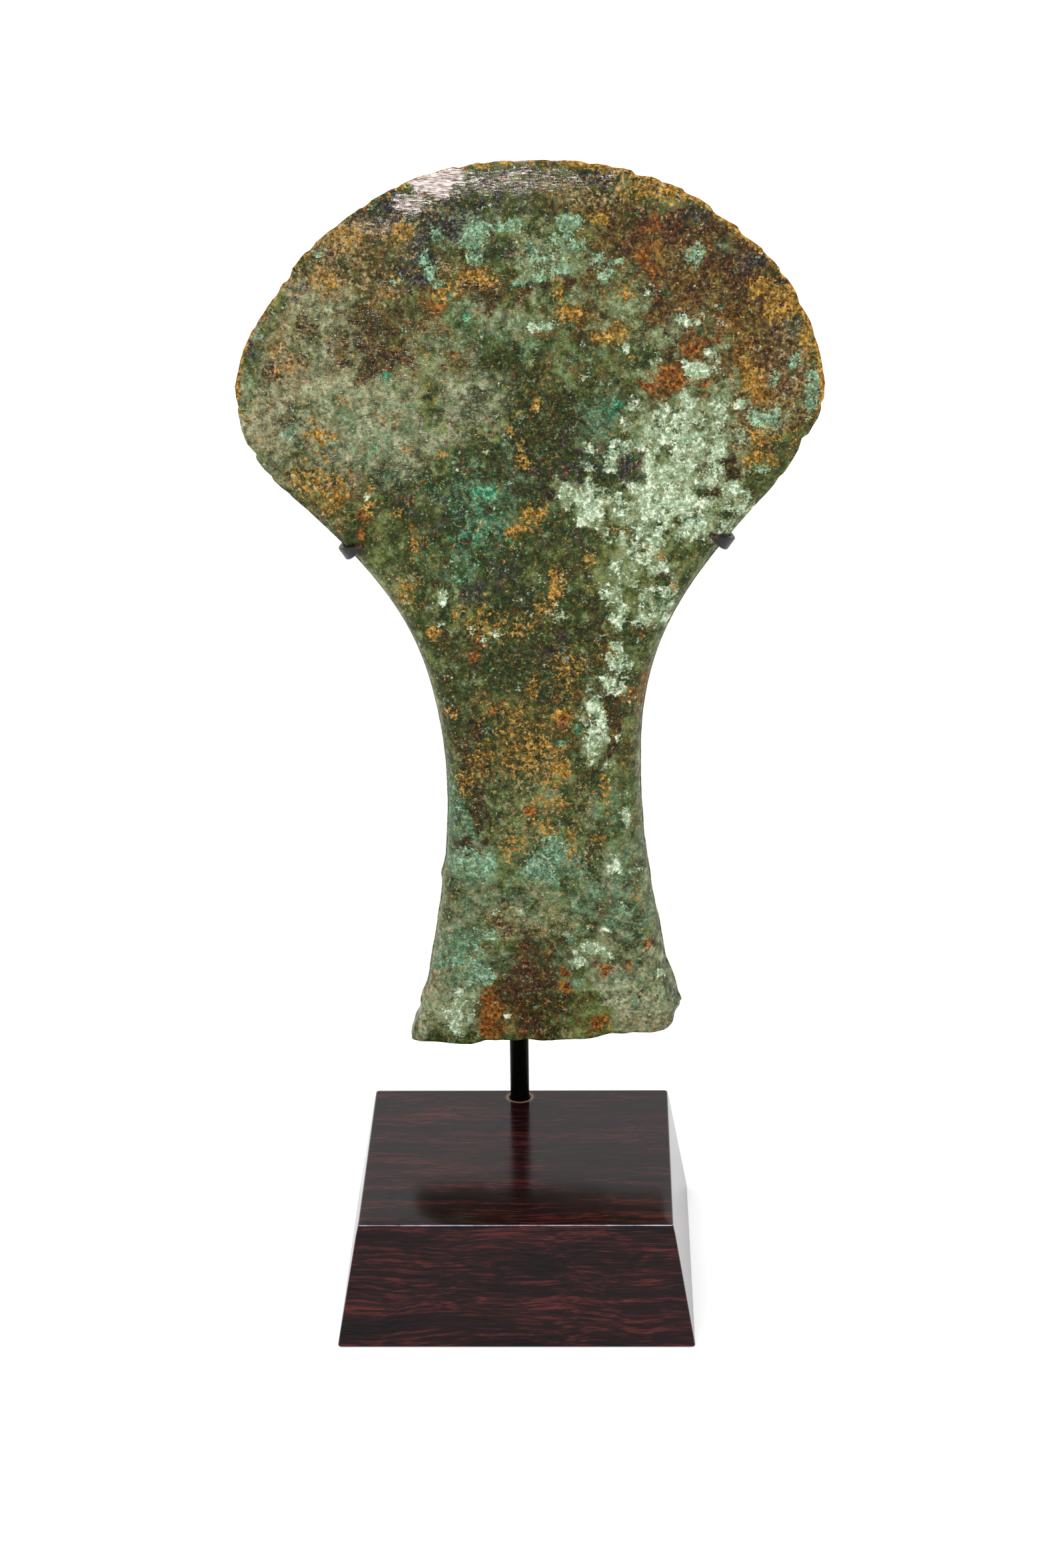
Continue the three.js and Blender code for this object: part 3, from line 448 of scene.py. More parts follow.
def cloud(x, z, grain, seed, octaves=3):
    """Soft noise from -1 to 1 over the plane.

    Random values on a square lattice of the given grain are blended by a cubic, and the same again
    at half the grain and 0.55 of the weight is added for each further octave.
    """
    rng = np.random.default_rng(SEED + seed)
    total = np.zeros(np.shape(x))
    weight = 1.0
    whole = 0.0
    for _ in range(octaves):
        values = rng.uniform(-1, 1, (LATTICE, LATTICE))
        shift = rng.uniform(0, LATTICE, 2)
        u = x / grain + shift[0]
        v = z / grain + shift[1]
        i = np.floor(u).astype(int)
        j = np.floor(v).astype(int)
        fu = smoothstep(u - i, 0, 1)
        fv = smoothstep(v - j, 0, 1)
        i0, i1, j0, j1 = i % LATTICE, (i + 1) % LATTICE, j % LATTICE, (j + 1) % LATTICE
        low = values[i0, j0] * (1 - fu) + values[i1, j0] * fu
        high = values[i0, j1] * (1 - fu) + values[i1, j1] * fu
        total += weight * (low * (1 - fv) + high * fv)
        whole += weight
        grain /= 2
        weight *= 0.55
    return total / whole


class HeadForm:
    """The head's outline and thickness in millimetres, as functions of place."""

    OUTLINE_STEPS = 120
    TABLE_STEPS = 4000

    def __init__(self, head, stand):
        self.half_blade = head.blade_width / MM / 2
        self.height = head.height / MM
        self.horn_height = head.horn_height / MM
        self.crown = self.height - self.horn_height
        self.butt = (stand.plinth_height + head.lift) / MM
        self.horn_level = self.butt + self.horn_height
        self.offset = head.offset / MM
        self.shank = head.shank_thickness / MM
        self.edge = head.edge_thickness / MM
        self.bevel = head.bevel_thickness / MM
        self.bevel_width = head.bevel_width / MM
        self.swell = head.blade_swell
        self.rim_round = head.rim_round / MM
        table = np.linspace(0, 1, self.TABLE_STEPS)
        self.side_table = shape_curve(SIDE_SHAPE, table)
        self.edge_table = shape_curve(EDGE_SHAPE, table)
        self.crown_reach = np.interp(0, *np.transpose(EDGE_SHAPE))
        self.outline = self.make_outline()

    def point(self, angle, up):
        """The place across and up of a column, by its angle, and a row, by its share of the horn's height.

        Across is the edge's reach times the sine of the angle, carried between the left and right
        side at that level. Up is the level, plus an arch that grows up the blade as the reach times
        the cosine, plus the butt's broken line, which fades out above it.
        """
        reach = np.interp(angle, self.edge_table[:, 0], self.edge_table[:, 1])
        across = reach * np.sin(np.radians(angle))
        arch = reach * np.cos(np.radians(angle)) / self.crown_reach
        left = np.interp(up, self.side_table[:, 0], self.side_table[:, 1])
        right = np.interp(up, self.side_table[:, 0], self.side_table[:, 2])
        bulge = np.maximum(0, (up - ARCH_FROM) / (1 - ARCH_FROM)) ** ARCH_GROWTH
        share = (across + 1) / 2
        butt = shape_curve(np.array(BUTT_SHAPE)[:, None], share)[..., 0]
        rise = butt * np.maximum(0, 1 - up / BUTT_FADE)
        x = self.offset + self.half_blade * (right * share - left * (1 - share))
        z = self.butt + self.horn_height * up + self.crown * bulge * arch + rise
        return x, z

    def make_outline(self):
        """Up the left side, over the cutting edge and down the right side."""
        ups = np.linspace(0, 1, self.OUTLINE_STEPS)
        angles = np.linspace(-90, 90, 2 * self.OUTLINE_STEPS)
        left = np.stack(self.point(np.full_like(ups, -90), ups), -1)
        over = np.stack(self.point(angles, np.ones_like(angles)), -1)
        right = np.stack(self.point(np.full_like(ups, 90), ups[::-1]), -1)
        return np.vstack([left, over[1:-1], right])

    def inward(self, x, z):
        """Distance to the outline, which leaves out the butt."""
        least = np.full(np.shape(x), np.inf)
        for (ax, az), (bx, bz) in zip(self.outline[:-1], self.outline[1:]):
            dx, dz = bx - ax, bz - az
            span = max(dx * dx + dz * dz, 1e-12)
            share = np.clip(((x - ax) * dx + (z - az) * dz) / span, 0, 1)
            least = np.minimum(least, np.hypot(x - ax - share * dx, z - az - share * dz))
        return least

    def half_thickness(self, x, z, inward=None):
        """Half the thickness: a bar with rounded sides in the shank; in the blade a sharpened band and
        then a swell that grows inwards. The two are blended up the head.
        """
        inward = self.inward(x, z) if inward is None else inward
        up = (z - self.butt) / self.height
        rounding = np.sqrt(1 - (1 - np.minimum(inward, self.rim_round) / self.rim_round) ** 2)
        bar = self.shank * np.interp(up, *np.transpose(THICKNESS_SHAPE)) * rounding
        band = self.edge + (self.bevel - self.edge) * np.minimum(1, inward / self.bevel_width)
        blade = band + self.swell * np.maximum(0, inward - self.bevel_width)
        blend = smoothstep(up, TAPER_FROM, TAPER_TO)
        return np.maximum(bar * (1 - blend) + blade * blend, self.edge) / 2

    def side_at(self, height, side):
        """The outline's place at a height, on the left (-1) or the right (1)."""
        ups = np.linspace(0, 1, self.TABLE_STEPS)
        x, z = self.point(np.full_like(ups, 90.0 * side), ups)
        return np.array([np.interp(height, z, x), height])


class StandPlaces:
    """Where the rod, the strap and the head stand from front to back, in millimetres."""

    SOLDER_DEPTH = 0.4
    ROD_CLEARANCE = 0.5

    def __init__(self, form, stand):
        self.gap = stand.touch_gap / MM
        self.rod_x = stand.rod_offset / MM
        self.rod_y = (stand.plinth_depth / 2 - stand.rod_setback) / MM
        self.rod_radius = stand.rod_diameter / MM / 2
        self.rod_front = self.rod_y - self.rod_radius
        middle = (stand.strap_left + stand.strap_right) / MM / 2
        self.strap_level = form.butt + middle + stand.strap_arch / MM
        self.strap_thickness = stand.strap_thickness / MM
        at_rod = float(form.half_thickness(np.array(self.rod_x), np.array(self.strap_level)))
        self.strap_behind = at_rod + self.gap + self.strap_thickness
        stand_off = self.strap_behind + self.SOLDER_DEPTH + self.gap
        shank = form.shank / 2 + self.ROD_CLEARANCE
        self.head_y = self.rod_front - max(stand_off, shank)


def read_sizes(context):
    """The head's form and the places on the stand, from the scene's settings."""
    head = context.scene.axe_head_sizes
    stand = context.scene.axe_stand_sizes
    form = HeadForm(head, stand)
    return form, StandPlaces(form, stand)


def grid_faces(rows, columns, first=0, closed=False, flip=False):
    """Quads between neighbouring points of a grid kept row by row; a closed grid joins its last
    column to its first.
    """
    wide = columns if closed else columns - 1
    r = np.arange(rows - 1)[:, None]
    c = np.arange(wide)[None, :]
    a = first + r * columns + c
    b = first + r * columns + (c + 1) % columns
    quads = np.stack([a, b, b + columns, a + columns], -1).reshape(-1, 4)
    return quads[:, ::-1] if flip else quads


def fan_faces(hub, ring, flip=False):
    """Triangles from one middle point to each step of a closed ring."""
    faces = np.stack([np.full_like(ring, hub), ring, np.roll(ring, -1)], -1)
    return faces[:, ::-1] if flip else faces


def tube_faces(rows, columns, first=0):
    """Faces of a tube kept ring by ring, and of the two fans that close it, whose middles come
    straight after the rings.
    """
    ring = first + np.arange(columns)
    hub = first + rows * columns
    return [
        grid_faces(rows, columns, first, closed=True),
        fan_faces(hub, ring, flip=True),
        fan_faces(hub + 1, ring + (rows - 1) * columns),
    ]


def new_piece(name, points, faces, material, marks=None):
    """Puts points in millimetres and lists of faces into a smooth mesh that rides on the root."""
    mesh = bpy.data.meshes.new(name)
    corners = [face for block in faces for face in block.tolist()]
    mesh.from_pydata((points * MM).tolist(), [], corners)
    mesh.polygons.foreach_set("use_smooth", np.ones(len(mesh.polygons), bool))
    for mark, values in (marks or {}).items():
        attribute = mesh.attributes.new(mark, "FLOAT", "POINT")
        attribute.data.foreach_set("value", np.asarray(values, np.float32))
    mesh.materials.append(material)
    mesh.update()
    if mesh.validate():
        raise RuntimeError(f"{name}: the mesh had faults")
    piece = bpy.data.objects.new(name, mesh)
    bpy.context.scene.collection.objects.link(piece)
    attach(piece, "root")
    return piece


METRES_TO_MM = 1000.0
MIX_A, MIX_B, MIX_RESULT = 6, 7, 2
FLOAT_A, FLOAT_B, FLOAT_RESULT = 2, 3, 0


def add_node(tree, kind, settings=None, links=None):
    """Adds a node of a kind. A setting is an input's value where the node has that input, the stops
    of a colour ramp, or else a property. A link joins an input to another node's output.
    """
    node = tree.nodes.new(kind)
    for name, value in (settings or {}).items():
        if name == "stops":
            while len(node.color_ramp.elements) < len(value):
                node.color_ramp.elements.new(0.5)
            for element, (place, tone) in zip(node.color_ramp.elements, value):
                element.position = place
                element.color = tone
        elif isinstance(name, int) or name in node.inputs:
            node.inputs[name].default_value = value
        else:
            setattr(node, name, value)
    for name, source in (links or {}).items():
        tree.links.new(source, node.inputs[name])
    return node


def new_material(name):
    """An empty material with an output, and its tree."""
    material = bpy.data.materials.new(name)
    material.use_nodes = True
    tree = material.node_tree
    tree.nodes.clear()
    return material, tree


def place_in_mm(tree):
    """The place on the object in millimetres, as a socket."""
    where = add_node(tree, "ShaderNodeTexCoord")
    scale = {"Scale": (METRES_TO_MM,) * 3}
    return add_node(tree, "ShaderNodeMapping", scale, {"Vector": where.outputs["Object"]}).outputs["Vector"]


def marked_share(tree, mark, grain, low, high):
    """How far a mark kept on the mesh and a noise, added together, have risen from a low to a high
    value: 0 to 1 by the cubic 3t² - 2t³.
    """
    kept = add_node(tree, "ShaderNodeAttribute", {"attribute_name": mark})
    raised = add_node(tree, "ShaderNodeMath", {"operation": "ADD"}, {0: kept.outputs["Fac"], 1: grain})
    rise = {"interpolation_type": "SMOOTHSTEP", "From Min": low, "From Max": high}
    return add_node(tree, "ShaderNodeMapRange", rise, {"Value": raised.outputs[0]}).outputs["Result"]


def end_material(tree, settings, links=None):
    """Joins a Principled shader with these settings and links to the material's output."""
    shader = add_node(tree, "ShaderNodeBsdfPrincipled", settings, links)
    add_node(tree, "ShaderNodeOutputMaterial", {}, {"Surface": shader.outputs["BSDF"]})


def noise_channels(tree, place, per_mm, detail, roughness, offset):
    """Three noises that have nothing to do with each other, as sockets, with a given count of
    grains in a millimetre.
    """
    moved = add_node(
        tree,
        "ShaderNodeMapping",
        {"Location": offset, "Scale": (per_mm,) * 3},
        {"Vector": place},
    )
    noise = add_node(
        tree,
        "ShaderNodeTexNoise",
        {"Scale": 1.0, "Detail": detail, "Roughness": roughness},
        {"Vector": moved.outputs["Vector"]},
    )
    parts = add_node(tree, "ShaderNodeSeparateColor", {}, {"Color": noise.outputs["Color"]})
    return list(parts.outputs)


# Each patina in the order it lies on the metal: its dark, middle and light tone, how rough it is, how
# far it stands up in millimetres, how strongly 2 mm grain (0.8 mm in the crumbly ones) and 0.4 mm grain
# break it up, and how soft its border is.
PATINA_LAYERS = [
    # Pale is partly paler patina and partly a painted sheen on the left of the blade.
    ("pale", ("#585f46", "#8f9472", "#b6b596"), 0.42, 0.0, 1.9, 0.7, 0.36),
    ("deep", ("#0f1602", "#252e09", "#454e1c"), 0.42, 0.0, 2.2, 0.7, 0.36),
    ("sea", ("#26432f", "#44654b", "#789a7a"), 0.5, 0.0, 2.3, 1.3, 0.38),
    ("brown", ("#261a05", "#4e3a12", "#846c36"), 0.46, 0.0, 2.3, 0.9, 0.32),
    ("umber", ("#130d02", "#2a1e06", "#524018"), 0.5, -0.02, 2.7, 1.2, 0.26),
    ("maroon", ("#170b05", "#381d0e", "#684224"), 0.42, -0.01, 2.4, 1.4, 0.3),
    ("slate", ("#0f0f12", "#242427", "#4b4d49"), 0.36, -0.01, 2.4, 1.2, 0.3),
    ("verdigris", ("#1c4a33", "#327455", "#78ba94"), 0.55, 0.01, 2.2, 2.6, 0.16),
    ("chalk", ("#55613f", "#78845f", "#9aa682"), 0.62, 0.0, 2.4, 1.2, 0.36),
    ("tan", ("#5f5138", "#8c7a58", "#b7a37d"), 0.5, 0.0, 2.4, 1.8, 0.28),
    ("teal", ("#46604a", "#6f8f74", "#a4c6a3"), 0.6, 0.02, 2.4, 2.4, 0.22),
    ("ochre", ("#4e3a0c", "#8f6a26", "#c79b52"), 0.62, 0.015, 2.8, 2.2, 0.18),
    ("rust", ("#391c08", "#6d3f13", "#a5702f"), 0.6, 0.015, 2.6, 1.9, 0.28),
    ("crust", ("#74876a", "#9bae8e", "#dfe6cf"), 0.72, 0.06, 3.1, 1.9, 0.22),
]
CRUMBLY = ("verdigris", "tan", "teal", "ochre")
DARK_STOP, MID_STOP, LIGHT_STOP = 0.36, 0.5, 0.64
# Heights for the bump are in twentieths of a millimetre.
HEIGHTS_IN_MM = 20
WAX_GAMMA = 1.06
GRIT_SHADES = (0.74, 1.0, 1.28)
METAL_TONES = ("#7d6a66", "#c8b6b0", "#fff6f1")
METAL_ROUGHNESS = 0.3
METAL_SHARE = 0.9
SCRATCH_SLANT = 62


def patinated_bronze(finish):
    """Cast and hammered tin bronze with a buried patina, cleaned and lightly waxed.

    To the eye it is a dull green skin with a low sheen, broken by mineral spots of ochre, rust and
    chalky green, with grey-pink metal rubbed bare at the edge.
    """
    material, tree = new_material("patinated_bronze")
    place = place_in_mm(tree)
    drift = noise_channels(tree, place, 0.14, 3.0, 0.55, (3.1, 7.7, 1.3))
    blots = noise_channels(tree, place, 0.5, 5.0, 0.62, (11.3, 5.1, 8.9))
    blots += noise_channels(tree, place, 0.62, 5.0, 0.62, (41.9, 15.7, 28.3))
    crumbs = noise_channels(tree, place, 1.15, 5.0, 0.62, (61.3, 25.1, 8.9))
    crumbs += noise_channels(tree, place, 1.4, 5.0, 0.62, (4.9, 65.7, 38.3))
    grains = noise_channels(tree, place, 2.4, 4.0, 0.65, (1.7, 31.1, 6.1))
    grains += noise_channels(tree, place, 2.9, 4.0, 0.65, (21.3, 3.9, 46.7))
    grit = noise_channels(tree, place, 7.0, 2.0, 0.6, (9.7, 2.3, 17.9))

    def weighed(first, gain, second, other_gain):
        """0.5 plus each noise's swing about 0.5 times its gain."""
        one = add_node(
            tree,
            "ShaderNodeMath",
            {"operation": "MULTIPLY_ADD", 1: gain, 2: 0.5 - 0.5 * (gain + other_gain)},
            {0: first},
        )
        return add_node(
            tree,
            "ShaderNodeMath",
            {"operation": "MULTIPLY_ADD", 1: other_gain},
            {0: second, 2: one.outputs[0]},
        ).outputs[0]

    def toned(signal, tones):
        """A colour between three tones, by a signal about 0.5."""
        stops = list(zip((DARK_STOP, MID_STOP, LIGHT_STOP), tones))
        return add_node(tree, "ShaderNodeValToRGB", {"stops": stops}, {"Fac": signal}).outputs["Color"]

    green = [tuple(c) + (1.0,) for c in (finish.green_dark, finish.green_mid, finish.green_light)]
    base_signal = weighed(weighed(blots[2], 0.9, drift[0], 0.7), 1.0, grains[2], 0.35)
    skin = toned(base_signal, green)
    roughness = weighed(grains[0], 0.5, blots[1], 0.35)
    height = weighed(grains[4], 0.8, grit[0], 0.5)
    rises = []
    for index, (name, tones, rough, rise, blot_gain, grain_gain, soft) in enumerate(PATINA_LAYERS):
        coarse = crumbs if name in CRUMBLY else blots
        broken = weighed(coarse[index % 6], blot_gain, grains[(index * 5 + 2) % 6], grain_gain)
        cover = marked_share(tree, name, broken, 1.0 - soft, 1.0 + soft)
        tone_signal = weighed(grains[(index + 1) % 6], 0.55, crumbs[(index + 4) % 6], 0.95)
        tone = toned(tone_signal, [to_linear(t) for t in tones])
        skin = add_node(
            tree,
            "ShaderNodeMix",
            {"data_type": "RGBA"},
            {0: cover, MIX_A: skin, MIX_B: tone},
        ).outputs[MIX_RESULT]
        roughness = add_node(
            tree,
            "ShaderNodeMix",
            {"data_type": "FLOAT", FLOAT_B: rough},
            {0: cover, FLOAT_A: roughness},
        ).outputs[FLOAT_RESULT]
        if rise:
            rises.append((cover, rise))
    for cover, rise in rises:
        height = add_node(
            tree,
            "ShaderNodeMath",
            {"operation": "MULTIPLY_ADD", 1: rise * HEIGHTS_IN_MM},
            {0: cover, 2: height},
        ).outputs[0]
    # Wax deepens every colour a little.
    skin = add_node(tree, "ShaderNodeGamma", {"Gamma": WAX_GAMMA}, {"Color": skin}).outputs["Color"]
    # Grit about 0.15 mm across darkens and lightens the whole skin a little.
    shade = toned(grit[1], [(g, g, g, 1.0) for g in GRIT_SHADES])
    skin = add_node(
        tree,
        "ShaderNodeMix",
        {"data_type": "RGBA", "blend_type": "MULTIPLY", 0: 1.0},
        {MIX_A: skin, MIX_B: shade},
    ).outputs[MIX_RESULT]
    # Rubbed metal shows between fine scratches that run along the edge, 0.25 mm apart.
    scratched = add_node(
        tree,
        "ShaderNodeMapping",
        {"Scale": (0.9, 1.0, 5.0), "Rotation": (0.0, math.radians(SCRATCH_SLANT), 0.0)},
        {"Vector": place},
    )
    scratches = add_node(
        tree,
        "ShaderNodeTexNoise",
        {"Scale": 1.0, "Detail": 4.0, "Roughness": 0.6},
        {"Vector": scratched.outputs["Vector"]},
    ).outputs["Fac"]
    bare = marked_share(tree, "worn_metal", weighed(scratches, 1.5, grit[2], 1.9), 0.82, 1.36)
    bronze = toned(scratches, [to_linear(t) for t in METAL_TONES])
    skin = add_node(
        tree, "ShaderNodeMix", {"data_type": "RGBA"}, {0: bare, MIX_A: skin, MIX_B: bronze}
    ).outputs[MIX_RESULT]
    roughness = add_node(
        tree,
        "ShaderNodeMix",
        {"data_type": "FLOAT", FLOAT_B: METAL_ROUGHNESS},
        {0: bare, FLOAT_A: roughness},
    ).outputs[FLOAT_RESULT]
    share = {"operation": "MULTIPLY", 1: METAL_SHARE}
    metallic = add_node(tree, "ShaderNodeMath", share, {0: bare}).outputs[0]
    bump = add_node(tree, "ShaderNodeBump", {"Strength": 0.4, "Distance": 0.0001}, {"Height": height})
    links = {
        "Base Color": skin,
        "Roughness": roughness,
        "Metallic": metallic,
        "Normal": bump.outputs["Normal"],
    }
    end_material(tree, {"Specular IOR Level": 0.14}, links)
    return material


VEIN_STOPS = (0.405, 0.52, 0.635)
GLUE_COLOUR = "#8a735c"
# Lilac grey of the painted highlight along the plinth's worn top arris.
ARRIS_HIGHLIGHT_COLOUR = "#9b9ba9"


def lacquered_rosewood(finish):
    """Sawn rosewood, stained and sprayed with a gloss lacquer.

    To the eye it is a deep red-brown with black veins 0.3 to 1 mm thick that run along the block,
    under a clear coat with crisp reflections.
    """
    material, tree = new_material("lacquered_rosewood")
    place = place_in_mm(tree)
    waves = add_node(
        tree,
        "ShaderNodeTexNoise",
        {"Scale": 0.04, "Detail": 2.0, "Roughness": 0.5},
        {"Vector": place},
    ).outputs["Color"]
    bent = add_node(
        tree,
        "ShaderNodeVectorMath",
        {"operation": "MULTIPLY_ADD", 1: (0.0, 5.0, 5.0)},
        {0: waves, 2: place},
    ).outputs["Vector"]

    def streaks(along, across, detail, offset):
        """Noise drawn out along the block: so many grains in a millimetre along and across."""
        drawn = add_node(
            tree,
            "ShaderNodeMapping",
            {"Location": offset, "Scale": (along, across, across)},
            {"Vector": bent},
        )
        return add_node(
            tree,
            "ShaderNodeTexNoise",
            {"Scale": 1.0, "Detail": detail, "Roughness": 0.6},
            {"Vector": drawn.outputs["Vector"]},
        ).outputs["Fac"]

    # Broad bands, veins and pores are added with these weights, and the sum is scaled back by the total.
    signal = streaks(0.03, 0.3, 3.0, (1.0, 4.0, 9.0))
    veins, vein_gain = streaks(0.08, 2.0, 5.0, (7.0, 2.0, 5.0)), 1.2
    pores, pore_gain = streaks(0.3, 5.0, 3.0, (3.0, 8.0, 2.0)), 1.1
    for drawn, gain in ((veins, vein_gain), (pores, pore_gain)):
        signal = add_node(
            tree,
            "ShaderNodeMath",
            {"operation": "MULTIPLY_ADD", 1: gain},
            {0: drawn, 2: signal},
        ).outputs[0]
    back = {"operation": "DIVIDE", 1: 1 + vein_gain + pore_gain}
    total = add_node(tree, "ShaderNodeMath", back, {0: signal}).outputs[0]
    tones = [tuple(c) + (1.0,) for c in (finish.wood_dark, finish.wood_mid, finish.wood_light)]
    wood = add_node(
        tree,
        "ShaderNodeValToRGB",
        {"stops": list(zip(VEIN_STOPS, tones))},
        {"Fac": total},
    ).outputs["Color"]
    glue = add_node(tree, "ShaderNodeAttribute", {"attribute_name": "glue"}).outputs["Fac"]
    wood = add_node(
        tree,
        "ShaderNodeMix",
        {"data_type": "RGBA", MIX_B: to_linear(GLUE_COLOUR)},
        {0: glue, MIX_A: wood},
    ).outputs[MIX_RESULT]
    # Painted highlight: the arris mark lays a lilac grey along the worn top edges, strongest on the front
    # edge, broken into spots by noise.
    knocks = streaks(0.25, 0.25, 4.0, (5.0, 6.0, 7.0))
    wear_and_highlight = marked_share(tree, "arris", knocks, 0.95, 1.4)
    wood = add_node(
        tree,
        "ShaderNodeMix",
        {"data_type": "RGBA", MIX_B: to_linear(ARRIS_HIGHLIGHT_COLOUR)},
        {0: wear_and_highlight, MIX_A: wood},
    ).outputs[MIX_RESULT]
    ripple = add_node(
        tree,
        "ShaderNodeTexNoise",
        {"Scale": 0.35, "Detail": 2.0, "Roughness": 0.5},
        {"Vector": place},
    ).outputs["Fac"]
    bump = add_node(tree, "ShaderNodeBump", {"Strength": 0.15, "Distance": 0.00005}, {"Height": ripple})
    lacquer = {
        "Roughness": 0.32,
        "IOR": 1.5,
        "Specular IOR Level": 0.0,
        "Coat Weight": 1.0,
        "Coat Roughness": 0.16,
        "Coat IOR": 1.24,
    }
    end_material(tree, lacquer, {"Base Color": wood, "Coat Normal": bump.outputs["Normal"]})
    return material


def satin_black_paint(finish, name, gloss, index):
    """Brass strip and steel rod under satin black paint, brown at the strip's tips where the head touches
    it: partly paint rubbed through, partly a painted glint and reflection of the bronze.

    To the eye it is nearly black with faint brush marks. The rod is dull; the strip has been
    handled, so it is glossier, and white surroundings turn its bends dark grey. Gloss is the specular
    level and index the paint's IOR, below a real paint's on the rod to keep it as black as it looks.
    """
    material, tree = new_material(name)
    place = place_in_mm(tree)
    brushed = add_node(
        tree,
        "ShaderNodeTexNoise",
        {"Scale": 1.6, "Detail": 3.0, "Roughness": 0.6},
        {"Vector": place},
    ).outputs["Fac"]
    # Rubbed paint and a painted glint: brown near the strip's tips, from the mark kept on the mesh.
    wear_and_highlight = marked_share(tree, "wear", brushed, 1.02, 1.3)
    skin = add_node(
        tree,
        "ShaderNodeMix",
        {
            "data_type": "RGBA",
            MIX_A: tuple(finish.paint) + (1.0,),
            MIX_B: tuple(finish.bare_metal_and_glint) + (1.0,),
        },
        {0: wear_and_highlight},
    ).outputs[MIX_RESULT]
    roughness = add_node(
        tree,
        "ShaderNodeMapRange",
        {"From Min": 0.3, "From Max": 0.7, "To Min": 0.34, "To Max": 0.48},
        {"Value": brushed},
    ).outputs["Result"]
    bump = add_node(tree, "ShaderNodeBump", {"Strength": 0.25, "Distance": 0.00004}, {"Height": brushed})
    links = {"Base Color": skin, "Roughness": roughness, "Normal": bump.outputs["Normal"]}
    end_material(tree, {"Specular IOR Level": gloss, "IOR": index}, links)
    return material


def bite_depth(angle, radius):
    """How far the edge is knocked in at an angle: each bite is a wedge that falls off quickly on
    its left and slowly on its right. The deepest one rules.
    """
    depth = np.zeros(np.shape(angle))
    for centre, deep, half in BITES:
        along = np.radians(angle - centre) * radius
        reach = np.where(along < 0, 0.45 * half, 1.3 * half)
        depth = np.maximum(depth, deep * np.clip(1 - np.abs(along) / reach, 0, 1) ** 0.8)
    return depth


def patch_cover(x, h, patches):
    """How much of a patina lies at each place: the most that any patch gives, which fades from its
    middle to well beyond its border, and which soft noise bends.
    """
    cover = np.zeros(np.shape(x))
    bend_x = 1.2 * cloud(x, h, 5.0, 71, 4)
    bend_h = 1.2 * cloud(x, h, 5.0, 72, 4)
    for px, ph, half_width, half_height, share in patches:
        off = np.hypot((x - px) / half_width + bend_x, (h - ph) / half_height + bend_h)
        cover = np.maximum(cover, share * (1 - smoothstep(off, 0.4, 1.5)))
    return cover


